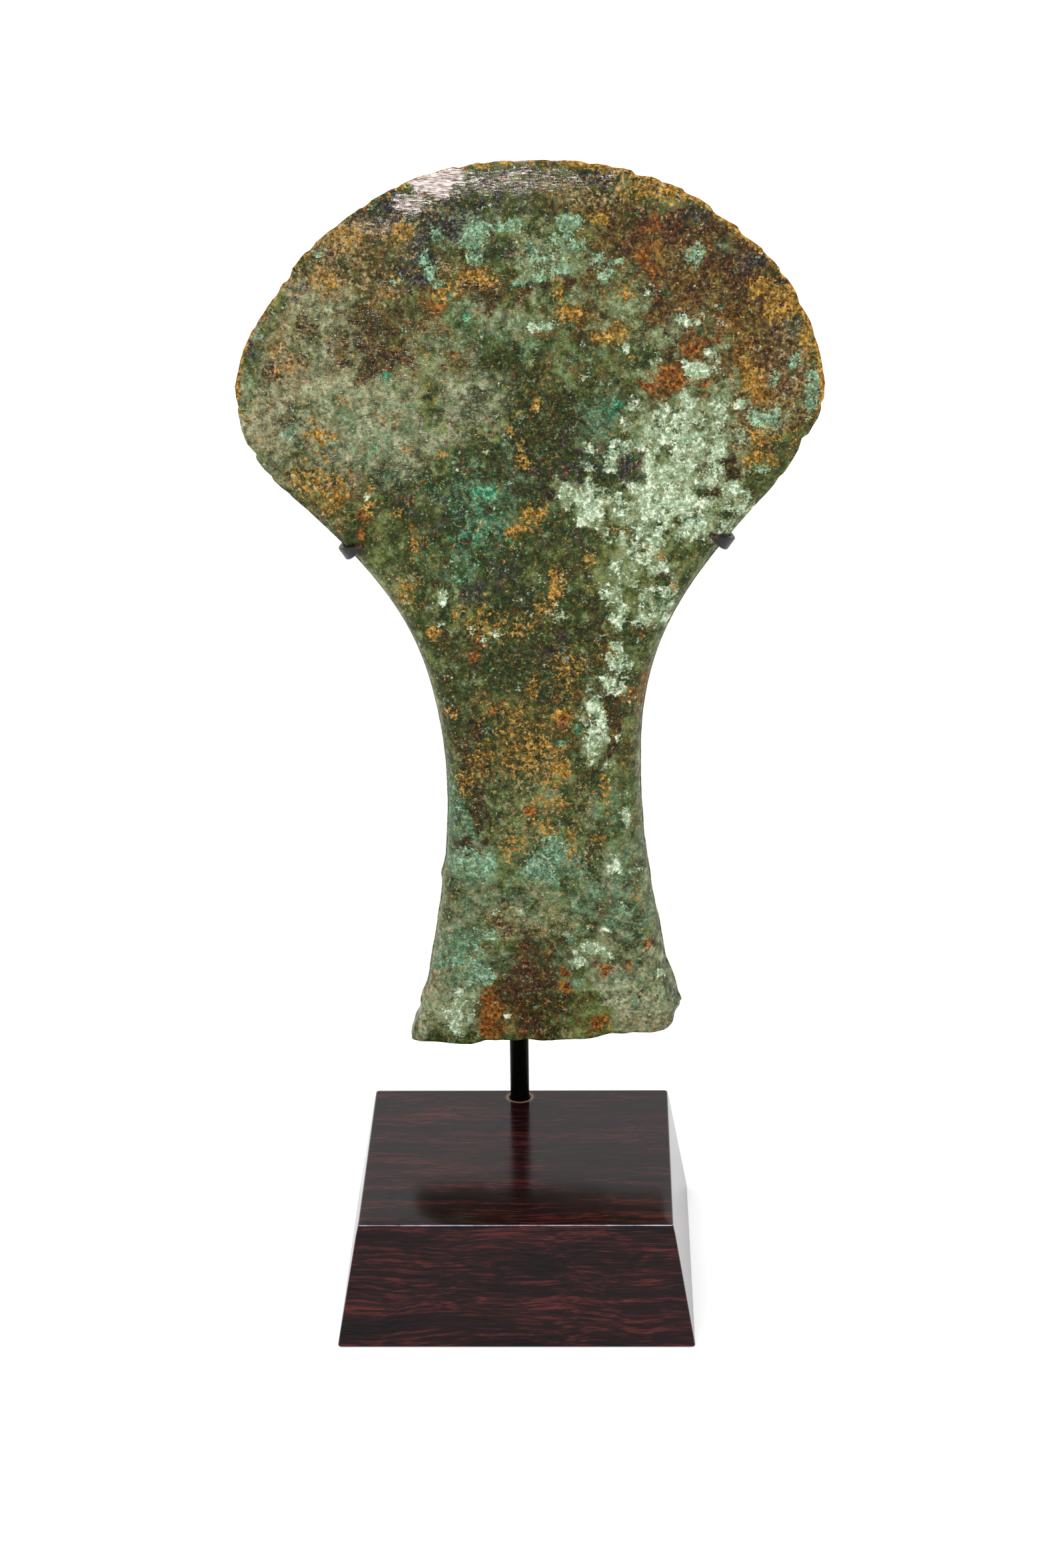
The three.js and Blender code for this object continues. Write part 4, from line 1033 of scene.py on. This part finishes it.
class MESH_OT_axe_head(bpy.types.Operator):
    """Make the flared bronze head with its worn edge, its relief and the marks of its patina"""

    bl_idname = "mesh.axe_head"
    bl_label = "Bronze head"

    COLUMNS = 216
    ROWS = 210
    RIM_STEPS = 6
    BITE_REACH = 1.1
    CRUMB_REACH = 1.3
    BACK_MARKS_SEED = 500
    BACK_RELIEF_SEED = 40
    CRUST_LOST = 0.68
    CHALK_LOST = 0.7

    def execute(self, context):
        form, places = read_sizes(context)
        head = context.scene.axe_head_sizes
        x, z = self.face_grid(form)
        inward = form.inward(x, z)
        x, z = self.knock_edge(form, x, z, inward)
        half = form.half_thickness(x, z, inward)
        front = self.marks(form, x, z, inward, FRONT_PATCHES, EVERYWHERE, 0)
        back = self.marks(form, x, z, inward, {}, BACK_CLOUDS, self.BACK_MARKS_SEED)
        relief = [
            self.relief(head, form, x, z, inward, front, 0),
            self.relief(head, form, x, z, inward, back, self.BACK_RELIEF_SEED),
        ]
        points, faces, marks = self.close(head, places, x, z, half, relief, front, back)
        material = patinated_bronze(context.scene.axe_finishes)
        piece = new_piece("bronze_head", points, faces, material, marks)
        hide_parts("axe_head")
        return {"FINISHED"}

    def face_grid(self, form):
        """Columns by angle, bunched a little towards the sides, and rows evenly spaced up the middle."""
        s = np.linspace(-1, 1, self.COLUMNS)
        angle = 90 * (0.65 * (2 / math.pi) * np.arcsin(s) + 0.35 * s)
        table = np.linspace(0, 1, form.TABLE_STEPS)
        _, levels = form.point(np.zeros_like(table), table)
        up = np.interp(np.linspace(levels[0], levels[-1], self.ROWS), levels, table)
        return form.point(np.broadcast_to(angle, (self.ROWS, self.COLUMNS)), up[:, None])

    def knock_edge(self, form, x, z, inward):
        """Moves points near the cutting edge towards the middle of the widest level by the bite at
        their angle, less and less further in. Below the blade, noise moves the rim in the same way
        towards a point up the shank, and each lump shifts what lies near it by a bell curve.
        """
        dx, dz = x - form.offset, z - form.horn_level
        radius = np.maximum(np.hypot(dx, dz), 1e-6)
        angle = np.degrees(np.arctan2(dx, dz))
        depth = bite_depth(angle, radius)
        ragged = 0.12 * (cloud(angle, radius * 0, 1.6, 11, 2) + 1)
        blade = smoothstep(z, form.butt + 0.8 * form.horn_height, form.butt + 0.88 * form.horn_height)
        move = (depth + 0.6 * ragged) * blade * np.exp(-((inward / self.BITE_REACH) ** 2))
        x, z = x - move * dx / radius, z - move * dz / radius
        dx, dz = x - form.offset, z - form.butt - 0.2 * form.horn_height
        far = np.maximum(np.hypot(dx, dz), 1e-6)
        low = 1 - smoothstep(z, form.butt + 2.0, form.butt + 9.0)
        crumbled = (0.1 + 0.45 * low) * (1.4 * cloud(x, z, 2.2, 12, 3) + 0.6)
        move = np.maximum(crumbled, 0) * (1 - blade) * np.exp(-((inward / self.CRUMB_REACH) ** 2))
        x, z = x - move * dx / far, z - move * dz / far
        for across, above, right, up, reach in RIM_LUMPS:
            off = np.hypot(x - form.offset - across, z - form.butt - above) / reach
            x = x + right * np.exp(-(off**2))
            z = z + up * np.exp(-(off**2))
        return x, z

    def marks(self, form, x, z, inward, patches, clouds, seed):
        """The cover of each patina: what lies everywhere, in clouds, and the patches on top. A patina
        that has patches is a little rarer outside them. Ochre lines the blade's edge, holes lower the
        crust and the chalk, and a painted sheen lightens the shank's rounded sides.
        """
        across = x - form.offset
        above = z - form.butt
        marks = {}
        for index, (name, (level, swing, grain)) in enumerate(clouds.items()):
            cover = level + swing * cloud(across, above, grain, seed + 13 * index + 5, 3)
            if name in patches:
                patch = patch_cover(across, above, patches[name])
                outside = 1 - smoothstep(patch, 0.0, 0.25)
                cover = np.maximum(cover, patch - OUTSIDE_PATCHES.get(name, OUTSIDE_OTHERS) * outside)
            marks[name] = cover
        edge = np.exp(-((inward / 0.8) ** 2)) * smoothstep(above, 98, 114)
        gold = 0.6 + 0.25 * smoothstep(across, 0, 30) + 0.4 * cloud(across, above, 9.0, seed + 91, 2)
        marks["ochre"] = np.maximum(marks["ochre"], gold * edge)
        if "crust" in patches:
            holes = patch_cover(across, above, HOLES_IN_CRUST)
            marks["crust"] -= self.CRUST_LOST * holes
            marks["chalk"] -= self.CHALK_LOST * holes
        # Painted sheen: a pale band about 1.4 mm wide along the shank's rounded sides, below the blade.
        sides = np.exp(-((inward / 1.4) ** 2)) * (1 - smoothstep(above, 80, 100))
        marks["pale"] = np.maximum(marks["pale"], 0.55 * sides)
        return marks

    def relief(self, head, form, x, z, inward, marks, seed):
        """How far the skin stands up in millimetres: crust and grain, less pits and hammer hollows."""
        grain = cloud(x, z, 1.6, seed + 31, 3)
        crust = smoothstep(marks["crust"] + 0.35 * grain, 0.45, 0.65)
        pits = smoothstep(cloud(x, z, 2.2, seed + 32, 2), 0.55, 0.85)
        hollows = cloud(x, z, 13.0, seed + 33, 2)
        lift = head.crust_height / MM * crust - head.pit_depth / MM * pits
        lift += head.hammer_depth / MM * hollows + 0.03 * cloud(x, z, 1.0, seed + 34, 2)
        # The lowest part of the butt is eaten away in lumps.
        eaten = np.maximum(cloud(x, z, 3.0, seed + 35, 3) + 0.25, 0)
        lift -= 0.45 * eaten * (1 - smoothstep(z - form.butt, 3.0, 12.0))
        return lift * smoothstep(inward, 0.0, 1.5)

    def close(self, head, places, x, z, half, relief, front, back):
        """Joins the front and the back face by a half round band along the whole rim."""
        rows, columns = x.shape
        index = np.arange(rows * columns).reshape(rows, columns)
        rim = np.concatenate([index[0, :-1], index[:-1, -1], index[-1, :0:-1], index[:0:-1, 0]])
        loop = np.stack([x.ravel()[rim], z.ravel()[rim]], -1)
        tangent = np.roll(loop, -2, 0) - np.roll(loop, 2, 0)
        outwards = np.stack([tangent[:, 1], -tangent[:, 0]], -1)
        outwards /= np.linalg.norm(outwards, axis=1)[:, None]
        worn = head.worn_edge / MM
        flat = np.stack([x.ravel(), z.ravel()], -1)
        flat[rim] -= worn * outwards
        ys = [places.head_y - (half + relief[0]), places.head_y + (half + relief[1])]
        layers = [np.stack([flat[:, 0], y.ravel(), flat[:, 1]], -1) for y in ys]
        count = rows * columns
        blocks = [grid_faces(rows, columns), grid_faces(rows, columns, count, flip=True)]
        points = list(layers)
        steps = self.RIM_STEPS
        y_front, y_back = layers[0][rim, 1], layers[1][rim, 1]
        ragged = np.where(loop[:, 1] < loop[:, 1].min() + 6, 0.35, 0.0)
        for k in range(1, steps):
            turn = math.pi * k / steps
            y = (y_front + y_back) / 2 - (y_back - y_front) / 2 * math.cos(turn)
            chip = ragged * (0.5 + 0.5 * cloud(loop[:, 0], y, 2.2, 61, 2))
            out = loop - outwards * (worn * (1 - math.sin(turn)) + chip)[:, None]
            points.append(np.stack([out[:, 0], y, out[:, 1]], -1))
        rings = [rim]
        rings += [2 * count + (k - 1) * len(rim) + np.arange(len(rim)) for k in range(1, steps)]
        rings += [count + rim]
        for near, far in zip(rings[:-1], rings[1:]):
            blocks.append(np.stack([near, far, np.roll(far, -1), np.roll(near, -1)], -1))
        marks = {}
        for name in front:
            a, b = front[name].ravel(), back[name].ravel()
            band = [a[rim] * (1 - k / steps) + b[rim] * (k / steps) for k in range(1, steps)]
            marks[name] = np.concatenate([a, b, *band])
        return np.vstack(points), blocks, marks


class MESH_OT_axe_cradle(bpy.types.Operator):
    """Make the black strap behind the head, bent forward round both of its edges"""

    bl_idname = "mesh.axe_cradle"
    bl_label = "Cradle strap"

    LEFT_SLOPE = 33
    RIGHT_SLOPE = 35
    TIP_ANGLE = -78
    TIP_WIDTH = 0.8
    ARM_STEPS = 40
    BEND_STEPS = 48
    CORNER = 0.16
    CORNER_STEPS = 4
    GLOSS = 0.4
    PAINT_IOR = 1.45

    def execute(self, context):
        form, places = read_sizes(context)
        stand = context.scene.axe_stand_sizes
        left = self.arm(form, places, stand, -1, stand.strap_left / MM, self.LEFT_SLOPE)
        right = self.arm(form, places, stand, 1, stand.strap_right / MM, self.RIGHT_SLOPE)
        path = [np.concatenate([a[1:][::-1], b]) for a, b in zip(left, right)]
        strip, strip_faces, wear = self.sweep(places, *path)
        solder, solder_faces = self.solder(places, stand, len(strip))
        points = np.vstack([strip, solder])
        wear = np.concatenate([wear, np.zeros(len(solder))])
        finish = context.scene.axe_finishes
        material = satin_black_paint(finish, "handled_black_paint", self.GLOSS, self.PAINT_IOR)
        faces = strip_faces + solder_faces
        piece = new_piece("strap_strip", points, faces, material, {"wear": wear})
        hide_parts("cradle_strap")
        return {"FINISHED"}

    def arm(self, form, places, stand, side, height, slope):
        """One arm from the rod to its tip on the front: place, direction of the width, and width.

        Behind the head it is a quadratic Bezier curve that stands off the back face; round the edge
        it is an ellipse as deep as the head is thick there.
        """
        slope = math.radians(slope)
        outwards = np.array([side * math.cos(slope), -math.sin(slope)])
        edge = form.side_at(form.butt + height, side)
        bend = edge - form.rim_round * outwards
        start = np.array([places.rod_x, places.strap_level])
        turn = bend - outwards * (places.strap_level - bend[1]) / math.sin(slope)
        t = np.arange(self.ARM_STEPS)[:, None] / self.ARM_STEPS
        back = (1 - t) ** 2 * start + 2 * t * (1 - t) * turn + t**2 * bend
        tangent = 2 * (1 - t) * (turn - start) + 2 * t * (bend - turn)
        tangent /= np.linalg.norm(tangent, axis=1)[:, None]
        off = places.gap + places.strap_thickness / 2
        y = places.head_y + form.half_thickness(back[:, 0], back[:, 1]) + off
        place = np.stack([back[:, 0], y, back[:, 1]], -1)
        across = np.stack([-side * tangent[:, 1], 0 * y, side * tangent[:, 0]], -1)
        wide = np.full(len(y), stand.strap_width / MM)
        angle = np.radians(np.linspace(90, self.TIP_ANGLE, self.BEND_STEPS))
        depth = float(form.half_thickness(*bend[:, None])[0]) + off
        round_it = bend + outwards * ((form.rim_round + off) * np.cos(angle))[:, None]
        bend_y = places.head_y + depth * np.sin(angle)
        bend_place = np.stack([round_it[:, 0], bend_y, round_it[:, 1]], -1)
        bend_across = np.tile([side * math.sin(slope), 0, math.cos(slope)], (len(angle), 1))
        to_tip = smoothstep(-angle, math.radians(20), math.radians(-self.TIP_ANGLE)) ** 2
        full = stand.strap_width / MM
        bend_wide = full + (self.TIP_WIDTH - full) * to_tip
        return (
            np.vstack([place, bend_place]),
            np.vstack([across, bend_across]),
            np.concatenate([wide, bend_wide]),
        )

    def profile(self):
        """A rectangle from -1 to 1 both ways as corner arcs: sign and share of the arc's turn."""
        turn = np.linspace(0, math.pi / 2, self.CORNER_STEPS)
        corners = []
        for quarter in range(4):
            angle = turn + quarter * math.pi / 2
            sx = 1 if quarter in (0, 3) else -1
            sy = 1 if quarter in (0, 1) else -1
            corners.append(np.stack([0 * turn + sx, 0 * turn + sy, np.cos(angle), np.sin(angle)], -1))
        return np.vstack(corners)

    def sweep(self, places, place, across, wide):
        """Carries a rounded rectangle along the path: its width lies across and its thickness square
        to both the width and the path. The ends are closed by a small dome.
        """
        along = np.gradient(place, axis=0)
        along /= np.linalg.norm(along, axis=1)[:, None]
        out = np.cross(across, along)
        out /= np.linalg.norm(out, axis=1)[:, None]
        shape = self.profile()
        thick = places.strap_thickness / 2
        corner = self.CORNER
        w = shape[None, :, 0] * (wide[:, None] / 2 - corner) + corner * shape[None, :, 2]
        t = shape[None, :, 1] * (thick - corner) + corner * shape[None, :, 3] + 0 * w
        rings = place[:, None] + across[:, None] * w[..., None] + out[:, None] * t[..., None]
        count, around = rings.shape[:2]
        ends = np.stack([place[0] - 0.12 * along[0], place[-1] + 0.12 * along[-1]])
        points = np.vstack([rings.reshape(-1, 3), ends])
        # The tips carry brown, rubbed paint and a painted glint, which fades away from each tip.
        station = np.arange(count)
        from_tip = np.minimum(station, count - 1 - station) / self.BEND_STEPS
        wear = np.repeat(0.62 - 1.3 * from_tip, around)
        return points, tube_faces(count, around), np.concatenate([wear, [0.6, 0.6]])

    def solder(self, places, stand, first):
        """A drop of solder: a ball whose sine and cosine are raised to 0.6, drawn out from strap to rod."""
        front = places.head_y + places.strap_behind - places.strap_thickness / 2
        back = places.rod_front - places.gap
        middle = np.array([places.rod_x, (front + back) / 2, places.strap_level])
        reach = np.array([places.rod_radius, (back - front) / 2, stand.solder_height / MM / 2])
        v = np.linspace(-math.pi / 2, math.pi / 2, 17)[1:-1, None]
        u = np.linspace(0, 2 * math.pi, 32, endpoint=False)[None, :]

        def soft(value):
            return np.sign(value) * np.abs(value) ** 0.6

        level = soft(np.cos(v))
        ball = np.stack([level * soft(np.cos(u)), level * soft(np.sin(u)), soft(np.sin(v)) + 0 * u], -1)
        rows, around = ball.shape[:2]
        poles = np.array([[0, 0, -1.0], [0, 0, 1.0]])
        points = middle + reach * np.vstack([ball.reshape(-1, 3), poles])
        return points, tube_faces(rows, around, first)


class MESH_OT_axe_rod(bpy.types.Operator):
    """Make the upright black rod that stands in the plinth"""

    bl_idname = "mesh.axe_rod"
    bl_label = "Mount rod"

    SIDES = 64
    CHAMFER = 0.4
    GLOSS = 0.3
    PAINT_IOR = 1.15

    def execute(self, context):
        _, places = read_sizes(context)
        stand = context.scene.axe_stand_sizes
        foot = (stand.plinth_height - stand.rod_socket) / MM + places.gap
        top = places.strap_level + (stand.strap_width / 2 + stand.rod_rise) / MM
        points, faces = self.turn(places, foot, top)
        finish = context.scene.axe_finishes
        material = satin_black_paint(finish, "black_paint", self.GLOSS, self.PAINT_IOR)
        wear = np.zeros(len(points))
        piece = new_piece("rod_bar", points, faces, material, {"wear": wear})
        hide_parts("mount_rod")
        return {"FINISHED"}

    def turn(self, places, foot, top):
        """A profile turned round the rod's axis: a quarter round at each end of a straight side."""
        arc = np.linspace(0, math.pi / 2, 6)
        r, c = places.rod_radius, self.CHAMFER
        low = np.stack([r - c + c * np.sin(arc), foot + c - c * np.cos(arc)], -1)
        straight = np.stack([np.full(58, r), np.linspace(foot + c, top - c, 60)[1:-1]], -1)
        high = np.stack([r - c + c * np.cos(arc), top - c + c * np.sin(arc)], -1)
        profile = np.vstack([low, straight, high])
        u = np.linspace(0, 2 * math.pi, self.SIDES, endpoint=False)
        radius, z = profile[:, :1], profile[:, 1:]
        x, y = places.rod_x + radius * np.cos(u), places.rod_y + radius * np.sin(u)
        rings = np.stack([x, y, z + 0 * u], -1)
        hubs = np.array([[places.rod_x, places.rod_y, foot], [places.rod_x, places.rod_y, top]])
        points = np.vstack([rings.reshape(-1, 3), hubs])
        return points, tube_faces(len(profile), self.SIDES)


class MESH_OT_axe_plinth(bpy.types.Operator):
    """Make the tapered, lacquered plinth with the rod's blind hole"""

    bl_idname = "mesh.axe_plinth"
    bl_label = "Plinth"

    SIDE_STEPS = 36
    CORNER_STEPS = 8
    ARRIS_STEPS = 6
    RISE_STEPS = 14
    TOP_STEPS = 24
    HOLE_LIP = 0.08
    HOLE_TAPER = 0.98
    # Width of the painted arris highlight as a share of the arris, and its strength on the front edge and
    # on the other edges.
    ARRIS_HIGHLIGHT_BAND = 0.62
    ARRIS_HIGHLIGHT_FRONT = 0.74
    ARRIS_HIGHLIGHT_ELSEWHERE = 0.3

    def execute(self, context):
        _, places = read_sizes(context)
        stand = context.scene.axe_stand_sizes
        points, faces, marks = self.block(places, stand)
        material = lacquered_rosewood(context.scene.axe_finishes)
        piece = new_piece("plinth_block", points, faces, material, marks)
        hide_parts("plinth")
        return {"FINISHED"}

    def ring(self, half_x, half_y, radius):
        """A level rectangle with rounded corners, from its right side anticlockwise."""
        corners = []
        for quarter in range(4):
            sx = 1 if quarter in (0, 3) else -1
            sy = 1 if quarter < 2 else -1
            angle = np.linspace(quarter, quarter + 1, self.CORNER_STEPS) * math.pi / 2
            x = sx * (half_x - radius) + radius * np.cos(angle)
            y = sy * (half_y - radius) + radius * np.sin(angle)
            corners.append(np.stack([x, y], -1))
        share = np.linspace(0, 1, self.SIDE_STEPS + 2)[1:-1, None]
        blocks = []
        for corner, following in zip(corners, corners[1:] + corners[:1]):
            blocks += [corner, corner[-1] * (1 - share) + following[0] * share]
        return np.vstack(blocks)

    def block(self, places, stand):
        """Rings from the middle of the underside out, up the sloping sides, in over the top to the
        hole's rim and down the hole. Each arris is a quarter round.
        """
        half_x, half_y = stand.plinth_width / MM / 2, stand.plinth_depth / MM / 2
        high, spread = stand.plinth_height / MM, stand.plinth_spread / MM
        arris = stand.plinth_arris / MM
        hole = places.rod_radius + places.gap
        depth = stand.rod_socket / MM
        shape = self.ring(half_x, half_y, arris)
        base = self.ring(half_x + spread, half_y + spread, arris)
        middle = np.array([places.rod_x, places.rod_y])
        spoke = shape - middle
        circle = middle + hole * spoke / np.linalg.norm(spoke, axis=1)[:, None]
        arc = np.linspace(0, math.pi / 2, self.ARRIS_STEPS)

        def level(z, inset):
            share = z / high
            outline = base * (1 - share) + shape * share
            return outline - inset * np.sign(outline) * (np.abs(outline) > half_x * 0.2)

        rings = []
        for share in (0.05, 0.3, 0.6, 0.9):
            rings.append((level(arris, arris) * share, 0.0))
        for a in arc:
            rings.append((level(arris, arris * (1 - math.sin(a))), arris * (1 - math.cos(a))))
        for share in np.linspace(0, 1, self.RISE_STEPS)[1:-1]:
            z = arris + (high - 2 * arris) * share
            rings.append((level(z, 0), z))
        for a in arc:
            rings.append((level(high, arris * (1 - math.cos(a))), high - arris * (1 - math.sin(a))))
        edge = level(high, arris)
        for share in 1 - np.linspace(1, 0, self.TOP_STEPS)[1:] ** 1.7:
            rings.append((edge * (1 - share) + circle * share, high))
        wall = middle + (circle - middle) * self.HOLE_TAPER
        for share in (0, 0.25, 0.5, 0.75, 1.0):
            rings.append((wall, high - self.HOLE_LIP - (depth - self.HOLE_LIP) * share))
        around = len(shape)
        points = np.vstack([np.column_stack([xy, np.full(around, z)]) for xy, z in rings])
        hubs = np.array([[0, 0, 0], [middle[0], middle[1], high - depth]])
        points = np.vstack([points, hubs])
        off = np.hypot(points[:, 0] - middle[0], points[:, 1] - middle[1])
        glue = (points[:, 2] > high - 1) * (1 - smoothstep(off, hole + 0.15, hole + 0.75))
        # The arris mark is a painted highlight on a band along the top edges: strong on the front edge,
        # faint on the others.
        band = self.ARRIS_HIGHLIGHT_BAND * arris
        on_top = points[:, 2] > high - band
        to_edge = np.minimum(half_x - np.abs(points[:, 0]), half_y - np.abs(points[:, 1]))
        rim = on_top & (to_edge < band)
        front = points[:, 1] < -half_y + 1.1 * arris
        wear_and_highlight = np.where(rim & front, self.ARRIS_HIGHLIGHT_FRONT, np.where(rim, self.ARRIS_HIGHLIGHT_ELSEWHERE, 0.0))
        return points, tube_faces(len(rings), around), {"glue": glue, "arris": wear_and_highlight}


class SCENE_OT_axe_stage(bpy.types.Operator):
    """Set the camera at the photograph's angle, the white floor and the soft studio light"""

    bl_idname = "scene.axe_stage"
    bl_label = "Stage"

    CAMERA_PLACE = (13.8, -517.9, 276.2)
    PITCH_DOWN = 20.25
    YAW = -1.375
    ROLL = -0.69
    FOCAL_PIXELS = 5233
    FRAME_HEIGHT = 2352
    SENSOR = 36
    FLOOR_HALF = 6000
    FLOOR_GLOW = 0.22
    WALL_LIGHT = 0.9
    ROOF_LIGHT = 1.0
    KEY_FROM = (-0.3, -0.6, 1.0)
    KEY_STRENGTH = 1.5
    KEY_SPREAD = 50

    def execute(self, context):
        self.make_camera(context)
        self.make_floor(context)
        self.make_light(context)
        context.scene.view_settings.view_transform = "Standard"
        return {"FINISHED"}

    def make_camera(self, context):
        """Looks down by the pitch, turned by the yaw and leaning by the roll."""
        pitch, yaw, roll = (math.radians(a) for a in (self.PITCH_DOWN, self.YAW, self.ROLL))
        ahead = Vector((math.sin(yaw) * math.cos(pitch), math.cos(yaw) * math.cos(pitch), -math.sin(pitch)))
        level = Vector((math.cos(yaw), -math.sin(yaw), 0))
        upright = level.cross(ahead)
        right = math.cos(roll) * level + math.sin(roll) * upright
        up = -math.sin(roll) * level + math.cos(roll) * upright
        data = bpy.data.cameras.new("front_camera")
        data.sensor_fit = "VERTICAL"
        data.sensor_height = self.SENSOR
        data.lens = self.SENSOR * self.FOCAL_PIXELS / self.FRAME_HEIGHT
        data.clip_start, data.clip_end = 0.01, 50
        camera = bpy.data.objects.new("front_camera", data)
        turned = Matrix((right, up, -ahead)).transposed().to_4x4()
        camera.matrix_world = Matrix.Translation(Vector(self.CAMERA_PLACE) * MM) @ turned
        context.scene.collection.objects.link(camera)
        context.scene.camera = camera

    def make_floor(self, context):
        """A plain white sheet of paper."""
        h = self.FLOOR_HALF * MM
        mesh = bpy.data.meshes.new("paper_floor")
        mesh.from_pydata([(-h, -h, 0), (h, -h, 0), (h, h, 0), (-h, h, 0)], [], [(0, 1, 2, 3)])
        material, tree = new_material("white_paper")
        paper = {
            "Base Color": to_linear("#f6f6f6"),
            "Roughness": 0.9,
            "Specular IOR Level": 0.1,
            "Emission Color": to_linear("#ffffff"),
            "Emission Strength": self.FLOOR_GLOW,
        }
        end_material(tree, paper)
        mesh.materials.append(material)
        floor = bpy.data.objects.new("paper_floor", mesh)
        context.scene.collection.objects.link(floor)

    def make_light(self, context):
        """A white tent of even light and a broad soft key from above the left front."""
        world = bpy.data.worlds.new("white_tent")
        world.use_nodes = True
        world.node_tree.nodes.clear()
        tree = world.node_tree
        where = add_node(tree, "ShaderNodeTexCoord")
        parts = add_node(tree, "ShaderNodeSeparateXYZ", {}, {"Vector": where.outputs["Generated"]})
        glow = add_node(
            tree,
            "ShaderNodeMapRange",
            {
                "interpolation_type": "SMOOTHSTEP",
                "From Min": 0.3,
                "From Max": 0.85,
                "To Min": self.WALL_LIGHT,
                "To Max": self.ROOF_LIGHT,
            },
            {"Value": parts.outputs["Z"]},
        )
        tent = add_node(
            tree,
            "ShaderNodeBackground",
            {"Color": to_linear("#ffffff")},
            {"Strength": glow.outputs["Result"]},
        )
        add_node(tree, "ShaderNodeOutputWorld", {}, {"Surface": tent.outputs["Background"]})
        context.scene.world = world
        # The key is a far light, as wide as a softbox would look.
        data = bpy.data.lights.new("key", "SUN")
        data.energy = self.KEY_STRENGTH
        data.angle = math.radians(self.KEY_SPREAD)
        light = bpy.data.objects.new("key", data)
        light.rotation_euler = Vector(self.KEY_FROM).to_track_quat("Z", "Y").to_euler()
        context.scene.collection.objects.link(light)


OPERATORS = (
    SCENE_OT_axe_stage,
    MESH_OT_axe_head,
    MESH_OT_axe_cradle,
    MESH_OT_axe_rod,
    MESH_OT_axe_plinth,
)


class VIEW3D_PT_axe_head(bpy.types.Panel):
    """Lists the sizes, the finishes and the pieces"""

    bl_idname = "VIEW3D_PT_axe_head"
    bl_label = "Axe head on a stand"
    bl_space_type = "VIEW_3D"
    bl_region_type = "UI"
    bl_category = "Axe head"

    def draw(self, context):
        column = self.layout.column()
        for group in ("axe_head_sizes", "axe_stand_sizes", "axe_finishes"):
            settings = getattr(context.scene, group)
            for name in settings.bl_rna.properties.keys():
                if name not in ("rna_type", "name"):
                    column.prop(settings, name)
        for operator in OPERATORS:
            column.operator(operator.bl_idname)


CLASSES = (AxeHeadSizes, StandSizes, Finishes, *OPERATORS, VIEW3D_PT_axe_head)


def register():
    for item in CLASSES:
        bpy.utils.register_class(item)
    bpy.types.Scene.axe_head_sizes = PointerProperty(type=AxeHeadSizes)
    bpy.types.Scene.axe_stand_sizes = PointerProperty(type=StandSizes)
    bpy.types.Scene.axe_finishes = PointerProperty(type=Finishes)


def unregister():
    del bpy.types.Scene.axe_finishes
    del bpy.types.Scene.axe_stand_sizes
    del bpy.types.Scene.axe_head_sizes
    for item in reversed(CLASSES):
        bpy.utils.unregister_class(item)


def main():
    """Registers the add-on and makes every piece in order."""
    register()
    bpy.ops.scene.axe_stage()
    bpy.ops.mesh.axe_head()
    bpy.ops.mesh.axe_cradle()
    bpy.ops.mesh.axe_rod()
    bpy.ops.mesh.axe_plinth()


if __name__ == "__main__":
    main()
